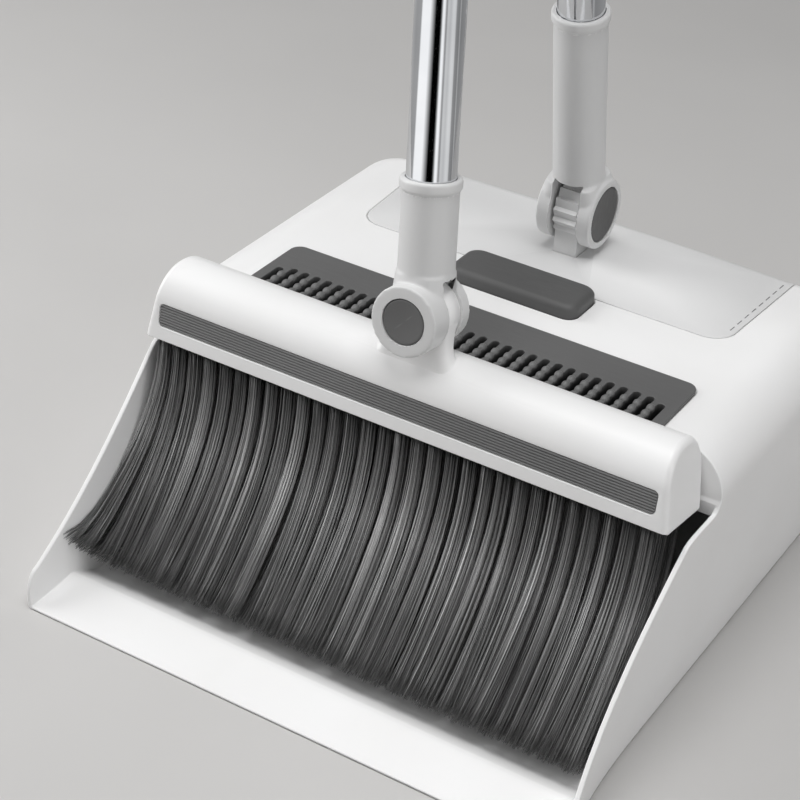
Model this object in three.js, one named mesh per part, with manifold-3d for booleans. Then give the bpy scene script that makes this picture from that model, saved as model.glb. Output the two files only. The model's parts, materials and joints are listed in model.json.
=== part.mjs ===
// Upright dust pan and brush set: a hooded pan with a folding pole, and a bristle brush with a
// tilting pole that stands in the pan's mouth.
// Millimetres. +X is to the right across the mouth, +Y to the closed rear, +Z up.
// The origin is the centre of the pan's flat underside.
import * as THREE from "three";
import { mergeVertices } from "three/addons/utils/BufferGeometryUtils.js";
import Module from "manifold-3d";

const wasm = await Module();
wasm.setup();

const GAP = 0.3; // left between parts that touch
const ROUND = 28; // sides of the poles' round parts
const DEG = Math.PI / 180;
const AXIS_X = new THREE.Vector3(1, 0, 0);

// ---- Driving dimensions -------------------------------------------------------------------

const PAN = {
  front: -154.5,
  rear: 154.5,
  height: 137.2,
  halfWidth: 139, // at the floor
  flare: 10, // added to the half width by the top
  mouthFlare: 9.7, // added to the half width at the lip
  rearBow: 5, // the rear face bows out by this much in the middle
  cornerRadius: 20, // rear corners seen from above
  topRadius: 26, // edge between hood and sides
  rearRadius: 15, // edge between hood and rear
  wall: 2.4,
  top: 3.2, // thickness of the hood's top
  floor: 2.8,
};
const hoodUnder = PAN.height - PAN.top;
const RIM = { slope: 0.92, atZero: 157.9, lowY: -146, highY: -60, ledgeZ: 107.4 };
const LIP = { thickness: 1.4, creaseY: -129.5, creaseZ: 9, footY: -114 };
const HOOD_FRONT = -24.6;
// Thick corners of the hood's front opening, behind the ends of the parked brush head.
const HOOD_CORNER = { x: 128, depth: 5, bottom: 104 };

const COMB = {
  halfWidth: 112.5,
  back: 19.4,
  slotEnd: -2.2,
  slots: 32,
  outerSlot: 105,
  slotWidth: 3.8,
  bottom: PAN.height - 0.7,
  thickness: 2.2,
  depth: 6, // of the teeth below the plate
  corner: 6,
};

const DECK = {
  front: 63.8,
  frontHalf: 105,
  rearHalf: 110.5,
  corner: 13,
  thickness: 1.4,
  recess: 1.7,
  skirtZ: 104, // lower edge of the part that runs over the rear
  bossX: 88,
  bossY: [80, 128],
  bossRadius: 3,
};

const PAD = {
  halfX: 36,
  front: 37.4,
  rear: 64.8,
  corner: 6.5,
  rise: 7.6, // how far it stands above the hood
  travel: 3,
  springX: 22,
  springRadius: 4.2,
  trayZ: 119,
};

const TUBE = { radius: 11.5, wall: 0.8, bore: 11.75 };
const PIN = { radius: 4, bore: 4.2 };

const SOCKET = 13.2; // outer radius of the barrel that holds a tube

// The two pivots. reachFront and reachBack are the distances from the pole's axis to the faces of
// the two discs, and gap is half the space between the discs. The shoulder is the block that joins
// the discs to the barrel: its reach, and its half depth at the discs and at the barrel.
const PAN_FORK = {
  pivot: new THREE.Vector3(0, 106.9, 159.8),
  lean: 10.4, // towards the mouth
  discRadius: 18.2,
  buttonRadius: 14.3,
  reachFront: 15.2,
  reachBack: 15.2,
  gap: 7.9,
  slotTop: 21.4,
  length: 115,
  shoulder: { reach: 15.2, low: 16.8, high: 14.4, corner: 6 },
  lugRadius: 16.2,
};
const BROOM_FORK = {
  pivot: new THREE.Vector3(0, -44.95, 168.8),
  lean: 5.8, // to the left of the head's own upright
  discRadius: 16.8,
  buttonRadius: 10.7,
  reachFront: 18.8,
  reachBack: 13,
  gap: 6,
  slotTop: 17.8,
  length: 63.5,
  shoulder: { reach: 14.2, low: 14.2, high: 13.6, corner: 11 },
  lugRadius: 15.6,
};

const HEAD = {
  frontEdge: new THREE.Vector3(-2.4, -65.5, 114.8), // its middle is a little left of its lug
  tilt: 9, // leans back
  half: 141.7,
  depth: 38,
  height: 38,
  draft: 0.155, // the ends lean inwards as they rise
  endRadius: 3,
  wall: 2.6,
  blockDepth: 11,
};
const STRIP = { half: 134, low: 7.4, high: 18.6, thickness: 1.6, ribs: 8 };

// Bristle rows seen from the side: the front and back surfaces of the whole brush, top to bottom.
const BRUSH_FRONT = [
  [-64.5, 113.2], [-66.5, 95], [-72, 77], [-82, 59], [-96, 41], [-111, 25], [-122, 15.5],
];
const BRUSH_BACK = [
  [-32, 108], [-34, 88], [-40, 68], [-52, 48], [-70, 29], [-92, 13.5], [-114, 7.5],
];
const BRUSH_HALF = 135;

const PAN_POLE = { couplerAt: 345, upperTop: 612, clipAt: 262, gripFrom: 520, gripTo: 636, top: 664 };
const BROOM_POLE = { couplerAt: 345, upperTop: 684, gripFrom: 592, gripTo: 708, top: 736 };

// ---- Materials ----------------------------------------------------------------------------

const white = new THREE.MeshStandardMaterial({ color: 0xf0f0ef, roughness: 0.4 });
const paleGrey = new THREE.MeshStandardMaterial({ color: 0xd6d7d8, roughness: 0.45 });
const darkGrey = new THREE.MeshStandardMaterial({ color: 0x5a5b5d, roughness: 0.55 });
const charcoal = new THREE.MeshStandardMaterial({ color: 0x2b2b2d, roughness: 0.7 });
const steel = new THREE.MeshStandardMaterial({ color: 0xd0d2d4, roughness: 0.12, metalness: 1 });

// ---- Solids -------------------------------------------------------------------------------

// A three.js geometry as a solid for cutting and joining.
function solid(geometry) {
  const bare = geometry.clone();
  bare.deleteAttribute("normal");
  bare.deleteAttribute("uv");
  const merged = mergeVertices(bare, 1e-4);
  const mesh = new wasm.Mesh({
    numProp: 3,
    vertProperties: new Float32Array(merged.attributes.position.array),
    triVerts: new Uint32Array(merged.index.array),
  });
  return new wasm.Manifold(mesh);
}

function cut(body, ...tools) {
  return tools.reduce((rest, tool) => rest.subtract(tool), body);
}

function join(first, ...others) {
  return others.reduce((sum, other) => sum.add(other), first);
}

// A named mesh made from a finished solid.
function part(name, body, material) {
  const made = body.getMesh();
  const geometry = new THREE.BufferGeometry();
  geometry.setAttribute("position", new THREE.BufferAttribute(made.vertProperties, 3));
  geometry.setIndex(new THREE.BufferAttribute(made.triVerts, 1));
  geometry.computeVertexNormals();
  const mesh = new THREE.Mesh(geometry, material);
  mesh.name = name;
  return mesh;
}

function block(x0, x1, y0, y1, z0, z1) {
  const box = new THREE.BoxGeometry(x1 - x0, y1 - y0, z1 - z0);
  box.translate((x0 + x1) / 2, (y0 + y1) / 2, (z0 + z1) / 2);
  return solid(box);
}

// A round bar along Z.
function rod(radius, z0, z1, sides = 24, x = 0, y = 0) {
  const bar = new THREE.CylinderGeometry(radius, radius, z1 - z0, sides);
  bar.rotateX(Math.PI / 2);
  bar.translate(x, y, (z0 + z1) / 2);
  return solid(bar);
}

// A round bar along X through (y, z).
function crossRod(radius, x0, x1, sides = ROUND, y = 0, z = 0) {
  const bar = new THREE.CylinderGeometry(radius, radius, x1 - x0, sides);
  bar.rotateZ(Math.PI / 2);
  bar.translate((x0 + x1) / 2, y, z);
  return solid(bar);
}

// A round bar along Y through (x, z).
function throughRod(radius, y0, y1, sides, x, z) {
  const bar = new THREE.CylinderGeometry(radius, radius, y1 - y0, sides);
  bar.translate(x, (y0 + y1) / 2, z);
  return solid(bar);
}

function shapeOf(points) {
  return new THREE.Shape(points.map(([a, b]) => new THREE.Vector2(a, b)));
}

// A flat outline in x and y, raised from z0 to z1.
function plate(points, z0, z1) {
  const body = new THREE.ExtrudeGeometry(shapeOf(points), { depth: z1 - z0, bevelEnabled: false });
  body.translate(0, 0, z0);
  return solid(body);
}

// An outline in y and z, drawn out along X from x0 to x1.
function profile(points, x0, x1) {
  const body = new THREE.ExtrudeGeometry(shapeOf(points), { depth: x1 - x0, bevelEnabled: false });
  const turn = new THREE.Matrix4().makeBasis(
    new THREE.Vector3(0, 1, 0),
    new THREE.Vector3(0, 0, 1),
    AXIS_X,
  );
  body.applyMatrix4(turn);
  body.translate(x0, 0, 0);
  return solid(body);
}

// A body of revolution about Z from [radius, z] pairs listed upwards.
function turned(points, sides = ROUND) {
  return solid(turnedShape(points, sides));
}

function turnedShape(points, sides) {
  const body = new THREE.LatheGeometry(points.map(([r, z]) => new THREE.Vector2(r, z)), sides);
  return body.rotateX(Math.PI / 2);
}

// A hollow tube along Z.
function sleeve(outer, inner, z0, z1, sides = 32) {
  return cut(rod(outer, z0, z1, sides), rod(inner, z0 - 1, z1 + 1, sides));
}

// A skin over rings of points that all have the same count, closed at both ends.
function loft(rings) {
  const count = rings[0].length;
  const positions = rings.flat().flatMap(([x, y, z]) => [x, y, z]);
  const index = [];
  for (let r = 0; r + 1 < rings.length; r += 1) {
    for (let i = 0; i < count; i += 1) {
      const a = r * count + i;
      const b = r * count + ((i + 1) % count);
      index.push(a, b, b + count, a, b + count, a + count);
    }
  }
  const last = (rings.length - 1) * count;
  for (let i = 1; i + 1 < count; i += 1) {
    index.push(0, i + 1, i);
    index.push(last, last + i, last + i + 1);
  }
  const skin = new THREE.BufferGeometry();
  skin.setAttribute("position", new THREE.Float32BufferAttribute(positions, 3));
  skin.setIndex(index);
  return solid(skin);
}

// Corner-rounded rectangle, anticlockwise.
function roundedBox(x0, x1, y0, y1, radius, steps = 4) {
  const corners = [
    [x1 - radius, y0 + radius, -90],
    [x1 - radius, y1 - radius, 0],
    [x0 + radius, y1 - radius, 90],
    [x0 + radius, y0 + radius, 180],
  ];
  return corners.flatMap(([cx, cy, start]) => arc(cx, cy, radius, start, start + 90, steps));
}

function arc(cx, cy, radius, from, to, steps) {
  return Array.from({ length: steps + 1 }, (_, i) => {
    const angle = (from + ((to - from) * i) / steps) * DEG;
    return [cx + radius * Math.cos(angle), cy + radius * Math.sin(angle)];
  });
}

const COIL_STEPS = 8; // straight pieces in each turn of a spring

// A wound spring along Z round the origin.
function coil(radius, wire, z0, z1, turns) {
  const steps = Math.round(turns * COIL_STEPS);
  const points = Array.from({ length: steps + 1 }, (_, i) => {
    const angle = (i / COIL_STEPS) * 2 * Math.PI;
    const z = z0 + wire + ((z1 - z0 - 2 * wire) * i) / steps;
    return new THREE.Vector3(radius * Math.cos(angle), radius * Math.sin(angle), z);
  });
  const section = shapeOf(arc(0, 0, wire, 0, 270, 3));
  const path = new THREE.CatmullRomCurve3(points);
  return new THREE.ExtrudeGeometry(section, { steps, extrudePath: path, bevelEnabled: false });
}

// ---- Dust pan -----------------------------------------------------------------------------

// Half width of the pan's outside at a place along its depth and height.
function panHalf(y, z) {
  const forward = Math.max(0, (-52 - y) / (-52 - PAN.front));
  return PAN.halfWidth + (PAN.flare * z) / PAN.height + PAN.mouthFlare * forward ** 3;
}

// The pan's outline at one height, with the sides and the rear moved inwards.
function panRing(z, inset, front, rearInset = inset) {
  const radius = PAN.cornerRadius - rearInset;
  const rearAt = (x) => PAN.rear - rearInset - PAN.rearBow * (x / PAN.halfWidth) ** 2;
  const side = panHalf(100, z) - inset;
  const cornerX = side - radius;
  const cornerY = rearAt(side) + 1 - radius;
  const right = [front, -135, -115, -90, -52].map((y) => [panHalf(y, z) - inset, y]);
  right.push(...arc(cornerX, cornerY, radius, 0, 90, 6));
  const back = [0.66, 0.33, 0].map((share) => [cornerX * share, rearAt(cornerX * share)]);
  const half = [...right, ...back];
  const mirrored = half.slice(0, -1).reverse().map(([x, y]) => [-x, y]);
  return [...half, ...mirrored].map(([x, y]) => [x, y, z]);
}

// The pan's outside shape moved inwards by inset, with the given bottom.
function panSolid(inset, front, bottom) {
  const top = PAN.height - inset;
  const radius = PAN.topRadius - inset;
  const rings = bottom.map(([z, extra]) => panRing(z, inset + extra, front));
  for (const angle of [0, 15, 30, 45, 60, 75, 90]) {
    const z = top - radius + radius * Math.sin(angle * DEG);
    const share = 1 - Math.cos(angle * DEG);
    const rearInset = inset + (PAN.rearRadius - inset) * share;
    rings.push(panRing(z, inset + radius * share, front, rearInset));
  }
  return loft(rings);
}

const panOutside = panSolid(0, PAN.front, [[0, 2.4], [0.8, 0.9], [2.6, 0], [60, 0]]);

// Everything in front of the hood and above the rims, which slope up from the lip to a level ledge
// beneath the ends of the brush head.
function rimCut() {
  const rimZ = (y) => RIM.atZero + RIM.slope * y;
  const edge = [
    [PAN.front, 4], [PAN.front + 0.2, 9.5], [PAN.front + 1.4, 14.5],
    [PAN.front + 4, 19.5], [RIM.lowY, rimZ(RIM.lowY)], [RIM.highY, rimZ(RIM.highY)],
    [RIM.highY + 5, RIM.ledgeZ - 1], [RIM.highY + 11, RIM.ledgeZ], [HOOD_FRONT - 5, RIM.ledgeZ],
    [HOOD_FRONT - 2, RIM.ledgeZ + 1.5], [HOOD_FRONT, RIM.ledgeZ + 6],
  ];
  return profile([[-180, 4], ...edge, [HOOD_FRONT, 200], [-180, 200]], -200, 200);
}

// The space inside the pan above its floor, lip ramp and crease.
function panCavity() {
  const inside = panSolid(PAN.wall, -190, [[-5, 0], [60, 0]]);
  const aboveFloor = profile(
    [
      [-190, LIP.thickness], [PAN.front, LIP.thickness], [LIP.creaseY - 4, LIP.creaseZ - 0.9],
      [LIP.creaseY, LIP.creaseZ], [LIP.creaseY + 3, LIP.creaseZ - 0.5],
      [LIP.footY, PAN.floor], [180, PAN.floor], [180, hoodUnder], [-190, hoodUnder],
    ],
    -200,
    200,
  );
  const corners = [[-160, -HOOD_CORNER.x], [HOOD_CORNER.x, 160]].map(([x0, x1]) =>
    block(x0, x1, HOOD_FRONT - 1, HOOD_FRONT + HOOD_CORNER.depth, HOOD_CORNER.bottom, 160),
  );
  return cut(inside.intersect(aboveFloor), ...corners);
}

// The deck panel's outline, made smaller by inset.
function deckOutline(inset) {
  const r = DECK.corner - inset;
  const front = DECK.front + inset;
  const slope = (DECK.rearHalf - DECK.frontHalf) / (PAN.rear + 10 - DECK.front);
  const halfAt = (y) => DECK.frontHalf - inset + slope * (y - DECK.front);
  const rear = PAN.rear + 10;
  return [
    ...arc(-halfAt(front) + r, front + r, r, 180, 270, 5),
    ...arc(halfAt(front) - r, front + r, r, -90, 0, 5),
    [halfAt(rear), rear],
    [-halfAt(rear), rear],
  ];
}

// Everything within the deck's outline that is above a depth under the hood's skin.
function deckRoom(outlineInset, depth, skirtZ) {
  const below = panSolid(depth, PAN.front - 20, [[-5, 0], [60, 0]]);
  return cut(plate(deckOutline(outlineInset), skirtZ, PAN.height + 20), below);
}

function padHole(z0, z1) {
  return plate(
    roundedBox(-PAD.halfX - GAP, PAD.halfX + GAP, PAD.front - GAP, PAD.rear + GAP, PAD.corner),
    z0,
    z1,
  );
}

const LUG = { halfX: 6.5, front: 96, rear: 117.8, footHalf: 20, footThick: 3, teeth: 17, toothDepth: 2 };

function lugHole(z0, z1) {
  return block(-LUG.halfX - GAP, LUG.halfX + GAP, LUG.front - GAP, LUG.rear + GAP, z0, z1);
}

const bossSpots = DECK.bossY.flatMap((y) => [[-DECK.bossX, y], [DECK.bossX, y]]);
const lugScrewSpots = [[-13.5, 107], [13.5, 107]];

function panBody() {
  const combHalf = COMB.halfWidth;
  const body = cut(
    panOutside,
    panCavity(),
    rimCut(),
    block(-combHalf + 5, combHalf - 5, HOOD_FRONT - 1, 0.6, 120, 200),
    plate(
      roundedBox(-combHalf - GAP, combHalf + GAP, -60, COMB.back + GAP, COMB.corner),
      COMB.bottom - GAP,
      200,
    ),
    deckRoom(0, DECK.recess, DECK.skirtZ),
    padHole(120, 200),
    lugHole(120, 200),
  );
  const holes = [
    ...bossSpots.map(([x, y]) => rod(DECK.bossRadius + GAP, 120, 180, 16, x, y)),
    ...lugScrewSpots.map(([x, y]) => rod(2, 120, 180, 12, x, y)),
  ];
  return cut(body, ...holes);
}

// The comb's slots are open at the mouth and rounded at the rear.
function combPlate() {
  const bottom = COMB.bottom;
  const top = bottom + COMB.thickness;
  const front = HOOD_FRONT + GAP;
  const outline = [
    [-COMB.halfWidth, front],
    [COMB.halfWidth, front],
    ...arc(COMB.halfWidth - COMB.corner, COMB.back - COMB.corner, COMB.corner, 0, 90, 5),
    ...arc(-COMB.halfWidth + COMB.corner, COMB.back - COMB.corner, COMB.corner, 90, 180, 5),
  ];
  const pitch = (2 * COMB.outerSlot) / (COMB.slots - 1);
  const radius = COMB.slotWidth / 2;
  const teeth = block(
    -COMB.halfWidth + 5 + GAP, COMB.halfWidth - 5 - GAP, front, 0.6 - GAP, bottom - COMB.depth, bottom + 1,
  );
  const slots = Array.from({ length: COMB.slots }, (_, i) => {
    const x = -COMB.outerSlot + i * pitch;
    const end = COMB.slotEnd - radius - (i === 0 || i === COMB.slots - 1 ? 3 : 0);
    const shape = [[x - radius, front - 5], [x + radius, front - 5], ...arc(x, end, radius, 0, 180, 4)];
    return plate(shape, bottom - COMB.depth - 1, top + 1);
  });
  return cut(join(plate(outline, bottom, top), teeth), ...slots);
}

function deckPanel() {
  const skin = cut(
    deckRoom(GAP, DECK.thickness, DECK.skirtZ + GAP).intersect(panOutside),
    padHole(120, 200),
    lugHole(120, 200),
  );
  const under = PAN.height - DECK.thickness;
  const bosses = bossSpots.map(([x, y]) =>
    rod(DECK.bossRadius, hoodUnder - 2.5, under + 0.5, 16, x, y),
  );
  const bores = bossSpots.map(([x, y]) => rod(1.6, 100, under - 0.5, 12, x, y));
  return cut(join(skin, ...bosses), ...bores);
}

// A pan-head screw driven upwards, its head's top face at z.
function screw(x, y, z, headRadius, shankRadius, length) {
  return join(
    rod(headRadius, z - 2, z, 12, x, y),
    rod(shankRadius, z - 0.5, z + length, 8, x, y),
  );
}

// The press pad: a rounded cap above the hood, a shank through it and a flange that keeps it in.
function footPad() {
  const outline = (inset) =>
    roundedBox(
      -PAD.halfX + inset,
      PAD.halfX - inset,
      PAD.front + inset,
      PAD.rear - inset,
      PAD.corner - inset * 0.5,
    );
  const top = PAN.height + PAD.rise;
  const levels = [[hoodUnder - 4, 0], [top - 4, 0], [top - 1.9, 0.7], [top - 0.6, 2], [top, 4]];
  const cap = loft(levels.map(([z, inset]) => outline(inset).map(([x, y]) => [x, y, z])));
  const flangeTop = hoodUnder - GAP;
  const flange = block(-PAD.halfX - 2, PAD.halfX + 2, PAD.front - 2, PAD.rear + 2, flangeTop - 2, flangeTop);
  const hollow = block(
    -PAD.halfX + 3, PAD.halfX - 3, PAD.front + 3, PAD.rear - 3, hoodUnder - 10, flangeTop + 1.5,
  );
  return cut(join(cap, flange), hollow);
}

// The channel under the hood that the pad's springs stand on.
function padTray() {
  const sideX = PAD.halfX + 5;
  const outside = block(-sideX, sideX, PAD.front - 4, PAD.rear + 4, PAD.trayZ - 2, hoodUnder - GAP);
  const inside = block(-sideX + 2, sideX - 2, PAD.front - 10, PAD.rear + 10, PAD.trayZ, 200);
  const pegs = [-PAD.springX, PAD.springX].map((x) =>
    rod(PAD.springRadius - 1.4, PAD.trayZ - 1, PAD.trayZ + 4, 12, x, (PAD.front + PAD.rear) / 2),
  );
  return join(cut(outside, inside), ...pegs);
}

function padSpring(x) {
  const top = hoodUnder - GAP + 1.5 - GAP;
  const spring = coil(PAD.springRadius, 0.6, PAD.trayZ + GAP, top, 3.5);
  return solid(spring.translate(x, (PAD.front + PAD.rear) / 2, 0));
}

// The ratchet lug: a plate with a round toothed top, standing on a foot under the hood.
function hingeLug() {
  const { pivot, lugRadius } = PAN_FORK;
  const toothed = [];
  const step = (360 / LUG.teeth) * DEG;
  for (let i = 0; i < LUG.teeth; i += 1) {
    const tip = i * step;
    const root = tip + 0.72 * step;
    const low = lugRadius - LUG.toothDepth;
    toothed.push([lugRadius * Math.cos(tip), lugRadius * Math.sin(tip)]);
    toothed.push([low * Math.cos(root), low * Math.sin(root)]);
  }
  const wheel = profile(toothed.map(([y, z]) => [y + pivot.y, z + pivot.z]), -LUG.halfX, LUG.halfX);
  const neck = block(-LUG.halfX, LUG.halfX, LUG.front, LUG.rear, hoodUnder - 2, pivot.z);
  const footTop = hoodUnder - GAP;
  const foot = block(
    -LUG.footHalf, LUG.footHalf, LUG.front - 8, LUG.rear + 8, footTop - LUG.footThick, footTop,
  );
  const bore = crossRod(PIN.bore, -20, 20, 20, pivot.y, pivot.z);
  const screwHoles = lugScrewSpots.map(([x, y]) => rod(2, 100, footTop + 1, 12, x, y));
  return cut(join(wheel, neck, foot), bore, ...screwHoles);
}

function lugScrew([x, y]) {
  return screw(x, y, hoodUnder - GAP - LUG.footThick - 0.1, 3.4, 1.7, LUG.footThick + 1.6);
}

function deckScrew([x, y]) {
  return screw(x, y, hoodUnder - 2.5 - 0.2, 5, 1.3, 3.8);
}

// ---- Forks, in their own frame: pivot axis along X, pole along Z, button at +X ---------------

const POCKET = 5.6; // depth of the button's pocket
const BUTTON = { thickness: 2.4, below: 0.3 };

function fork(dims) {
  const { discRadius, reachFront, reachBack, gap, length, buttonRadius, slotTop } = dims;
  const discs = crossRod(discRadius, -reachBack, reachFront, 36);
  const barrel = rod(SOCKET, 6, length - 5, ROUND);
  const ring = turned([[0, length - 5], [SOCKET, length - 5], [14.3, length - 4], [14.3, length - 1.2],
    [13.6, length], [0, length]], ROUND);
  const slot = block(-gap, gap, -40, 40, -40, slotTop);
  const bore = rod(TUBE.bore, 27, length + 10, ROUND);
  const pinBore = crossRod(PIN.bore, -40, 40, 20);
  const buttonPocket = crossRod(buttonRadius + GAP, reachFront - POCKET, reachFront + 10, ROUND);
  const capPocket = crossRod(buttonRadius + GAP, -reachBack - 10, -reachBack + 2.2, ROUND);
  return cut(join(discs, barrel, forkShoulder(dims), ring), slot, bore, pinBore, buttonPocket, capPocket);
}

function forkShoulder({ shoulder, reachFront, reachBack }) {
  const level = (z, reach, halfY) => {
    const [back, front] = [reachBack, reachFront].map((limit) => Math.min(reach, limit));
    return roundedBox(-back, front, -halfY, halfY, shoulder.corner, 3).map(([x, y]) => [x, y, z]);
  };
  return loft([
    level(0, shoulder.reach, shoulder.low),
    level(11, shoulder.reach, shoulder.high),
    level(20, SOCKET - 0.1, SOCKET - 0.1),
  ]);
}

function pivotPin({ reachFront, reachBack }) {
  return crossRod(PIN.radius, -reachBack + 2.2 + GAP, reachFront - POCKET - 0.2, 20);
}

// A shallow dished button with a rounded rim.
function button({ reachFront, buttonRadius }) {
  const face = reachFront - BUTTON.below;
  const back = face - BUTTON.thickness;
  const outline = [[0, back], [buttonRadius, back], [buttonRadius, face - 0.5],
    [buttonRadius - 0.5, face], [0, face]];
  return solid(turnedShape(outline, ROUND).rotateY(Math.PI / 2));
}

function buttonSpring({ reachFront }) {
  const top = reachFront - BUTTON.below - BUTTON.thickness - 0.1;
  return solid(coil(5, 0.4, reachFront - POCKET + 0.1, top, 2).rotateY(Math.PI / 2));
}

function backCap({ reachBack, buttonRadius }) {
  return crossRod(buttonRadius, -reachBack + 0.4, -reachBack + 2.2 - 0.1, ROUND);
}

// ---- Poles, in the fork's frame ----------------------------------------------------------

function tube(z0, z1) {
  return sleeve(TUBE.radius, TUBE.radius - TUBE.wall, z0, z1, ROUND);
}

// Joins the two tubes: a plastic sleeve with a rounded collar and an inner stop.
function coupler(z) {
  const outline = [[0, z - 20], [13.4, z - 20], [13.4, z - 2.4], [14.2, z - 1.6], [14.2, z + 1.6],
    [13.4, z + 2.4], [13.4, z + 20], [0, z + 20]];
  return cut(
    turned(outline, ROUND),
    rod(TUBE.bore, z - 30, z - 1, ROUND),
    rod(TUBE.bore, z + 1, z + 30, ROUND),
    rod(8, z - 40, z + 40, 16),
  );
}

function grip(z0, z1) {
  const outline = [[0, z0], [13.4, z0], [14.6, z0 + 3]];
  for (let z = z0 + 23; z < z1 - 12; z += 23) {
    outline.push([14.6, z - 2], [13.8, z], [14.6, z + 2]);
  }
  outline.push([14.6, z1 - 3], [13.6, z1], [0, z1]);
  return cut(turned(outline, ROUND), rod(TUBE.bore, z0 - 5, z1 + 5, ROUND));
}

// The end cap: a plug in the tube, a rounded collar, and a flat tongue with a hanging hole.
function hangCap(tubeTop, gripTop, top) {
  const plug = rod(TUBE.radius - TUBE.wall - GAP, tubeTop - 14, gripTop + 2, 20);
  const collar = turned([[0, gripTop + GAP], [14.2, gripTop + GAP], [14.4, gripTop + 2],
    [13, gripTop + 6], [0, gripTop + 8]], ROUND);
  const tongueTop = arc(0, top - 11, 11, 0, 180, 10);
  const outline = [[-11, gripTop + 3], [11, gripTop + 3], ...tongueTop];
  const flat = new THREE.ExtrudeGeometry(shapeOf(outline), { depth: 7, bevelEnabled: false });
  flat.rotateX(Math.PI / 2);
  flat.translate(0, 3.5, 0);
  const eye = throughRod(5.5, -15, 15, 18, 0, top - 11);
  return cut(join(plug, collar, solid(flat)), eye);
}

// The clip on the pan's pole: a band round the tube and an open jaw for the brush's tube.
const CLIP = { height: 22, reach: 29, jawOuter: 14.4, jawInner: 11.9 };

function storageClip(z) {
  const z0 = z - CLIP.height / 2;
  const z1 = z + CLIP.height / 2;
  const band = rod(14.4, z0, z1, ROUND);
  const jaw = rod(CLIP.jawOuter, z0, z1, ROUND, 0, -CLIP.reach);
  const bridge = block(-7, 7, -CLIP.reach + 8, -8, z0, z1);
  const mouth = block(-9.2, 9.2, -60, -CLIP.reach - 5, z0 - 1, z1 + 1);
  return cut(
    join(band, jaw, bridge),
    rod(TUBE.bore, z0 - 1, z1 + 1, ROUND),
    rod(CLIP.jawInner, z0 - 1, z1 + 1, ROUND, 0, -CLIP.reach),
    mouth,
  );
}

// ---- Brush head, in its own frame: y from the front face back, z up from the lower edge -------

// The head's section, made smaller by inset.
function headSection(inset) {
  const { depth, height } = HEAD;
  const frontArc = [[0, 19], [0.5, 24], [2.6, 29.4], [6.2, 33.8], [11, 36.8], [16.5, height]];
  const rearArc = [[22, height], [28, 36.2], [32.8, 32.4], [36, 27], [depth - 0.4, 20.5], [depth, 14]];
  const outline = [[0, 0], ...frontArc, ...rearArc, [depth, 0]];
  const middle = [depth / 2, 14];
  return outline.map(([y, z]) => {
    if (z < 1) return [y + (y < middle[0] ? inset : -inset), z];
    const away = Math.hypot(y - middle[0], z - middle[1]);
    const share = 1 - inset / away;
    return [middle[0] + (y - middle[0]) * share, middle[1] + (z - middle[1]) * share];
  });
}

function headBar() {
  const r = HEAD.endRadius;
  const steps = [[0, r], [0.3 * r, 0.28 * r], [r, 0]];
  const ring = (side, back, inset) =>
    headSection(inset).map(([y, z]) => [side * (HEAD.half - back - HEAD.draft * z), y, z]);
  const left = steps.map(([back, inset]) => ring(-1, back, inset));
  const right = steps.map(([back, inset]) => ring(1, back, inset)).reverse();
  return loft([...left, ...right].map((points) => points.reverse()));
}

// Where the brush's pivot sits in the head's frame.
function headPivot() {
  const away = BROOM_FORK.pivot.clone().sub(HEAD.frontEdge);
  return away.applyAxisAngle(AXIS_X, HEAD.tilt * DEG);
}

const screwSpots = [-70, 70];

function headShell() {
  const bar = headBar();
  const inner = headSection(HEAD.wall).map(([y, z]) => (z < 1 ? [y, -1] : [y, z]));
  const hollow = profile(inner, -HEAD.half + 7, HEAD.half - 7);
  const blockRoom = block(
    -HEAD.half + 3.6, HEAD.half - 3.6, HEAD.wall, HEAD.depth - HEAD.wall, -1, HEAD.blockDepth + GAP,
  );
  const posts = screwSpots.map((x) => rod(4.5, HEAD.blockDepth + GAP, HEAD.height - 1, 16, x, 19));
  const postBores = screwSpots.map((x) => rod(1.6, 0, 26, 12, x, 19));
  const stripRoom = block(
    -STRIP.half - GAP, STRIP.half + GAP, -1, STRIP.thickness + GAP, STRIP.low - GAP, STRIP.high + GAP,
  );
  const shell = join(cut(bar, hollow, blockRoom), ...posts, headLug(), stripBack());
  const pivot = headPivot();
  const bore = throughRod(PIN.bore, -10, 60, 20, pivot.x, pivot.z);
  return cut(shell, ...postBores, bore, stripRoom);
}

// Thickens the front wall behind the strip's recess.
function stripBack() {
  return block(-STRIP.half - 2, STRIP.half + 2, 1, HEAD.wall + 2, HEAD.blockDepth + 0.6, STRIP.high + 3);
}

// The lug on top of the head: round at the pivot, spreading into the head with a hollow curve.
function headLug() {
  const pivot = headPivot();
  const { lugRadius, gap } = BROOM_FORK;
  const halfY = gap - 0.4;
  const base = HEAD.height - 3.5;
  const flare = [];
  for (let i = 0; i <= 6; i += 1) {
    const share = i / 6;
    flare.push([lugRadius + 13 * (1 - share) ** 2.4, base + (pivot.z - base) * share]);
  }
  const outline = [
    ...flare,
    ...arc(0, pivot.z, lugRadius, 0, 180, 14).slice(1, -1),
    ...flare.map(([x, z]) => [-x, z]).reverse(),
  ];
  const lug = new THREE.ExtrudeGeometry(shapeOf(outline), { depth: 2 * halfY, bevelEnabled: false });
  lug.rotateX(Math.PI / 2);
  lug.translate(pivot.x, pivot.y + halfY, 0);
  return solid(lug);
}

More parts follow.
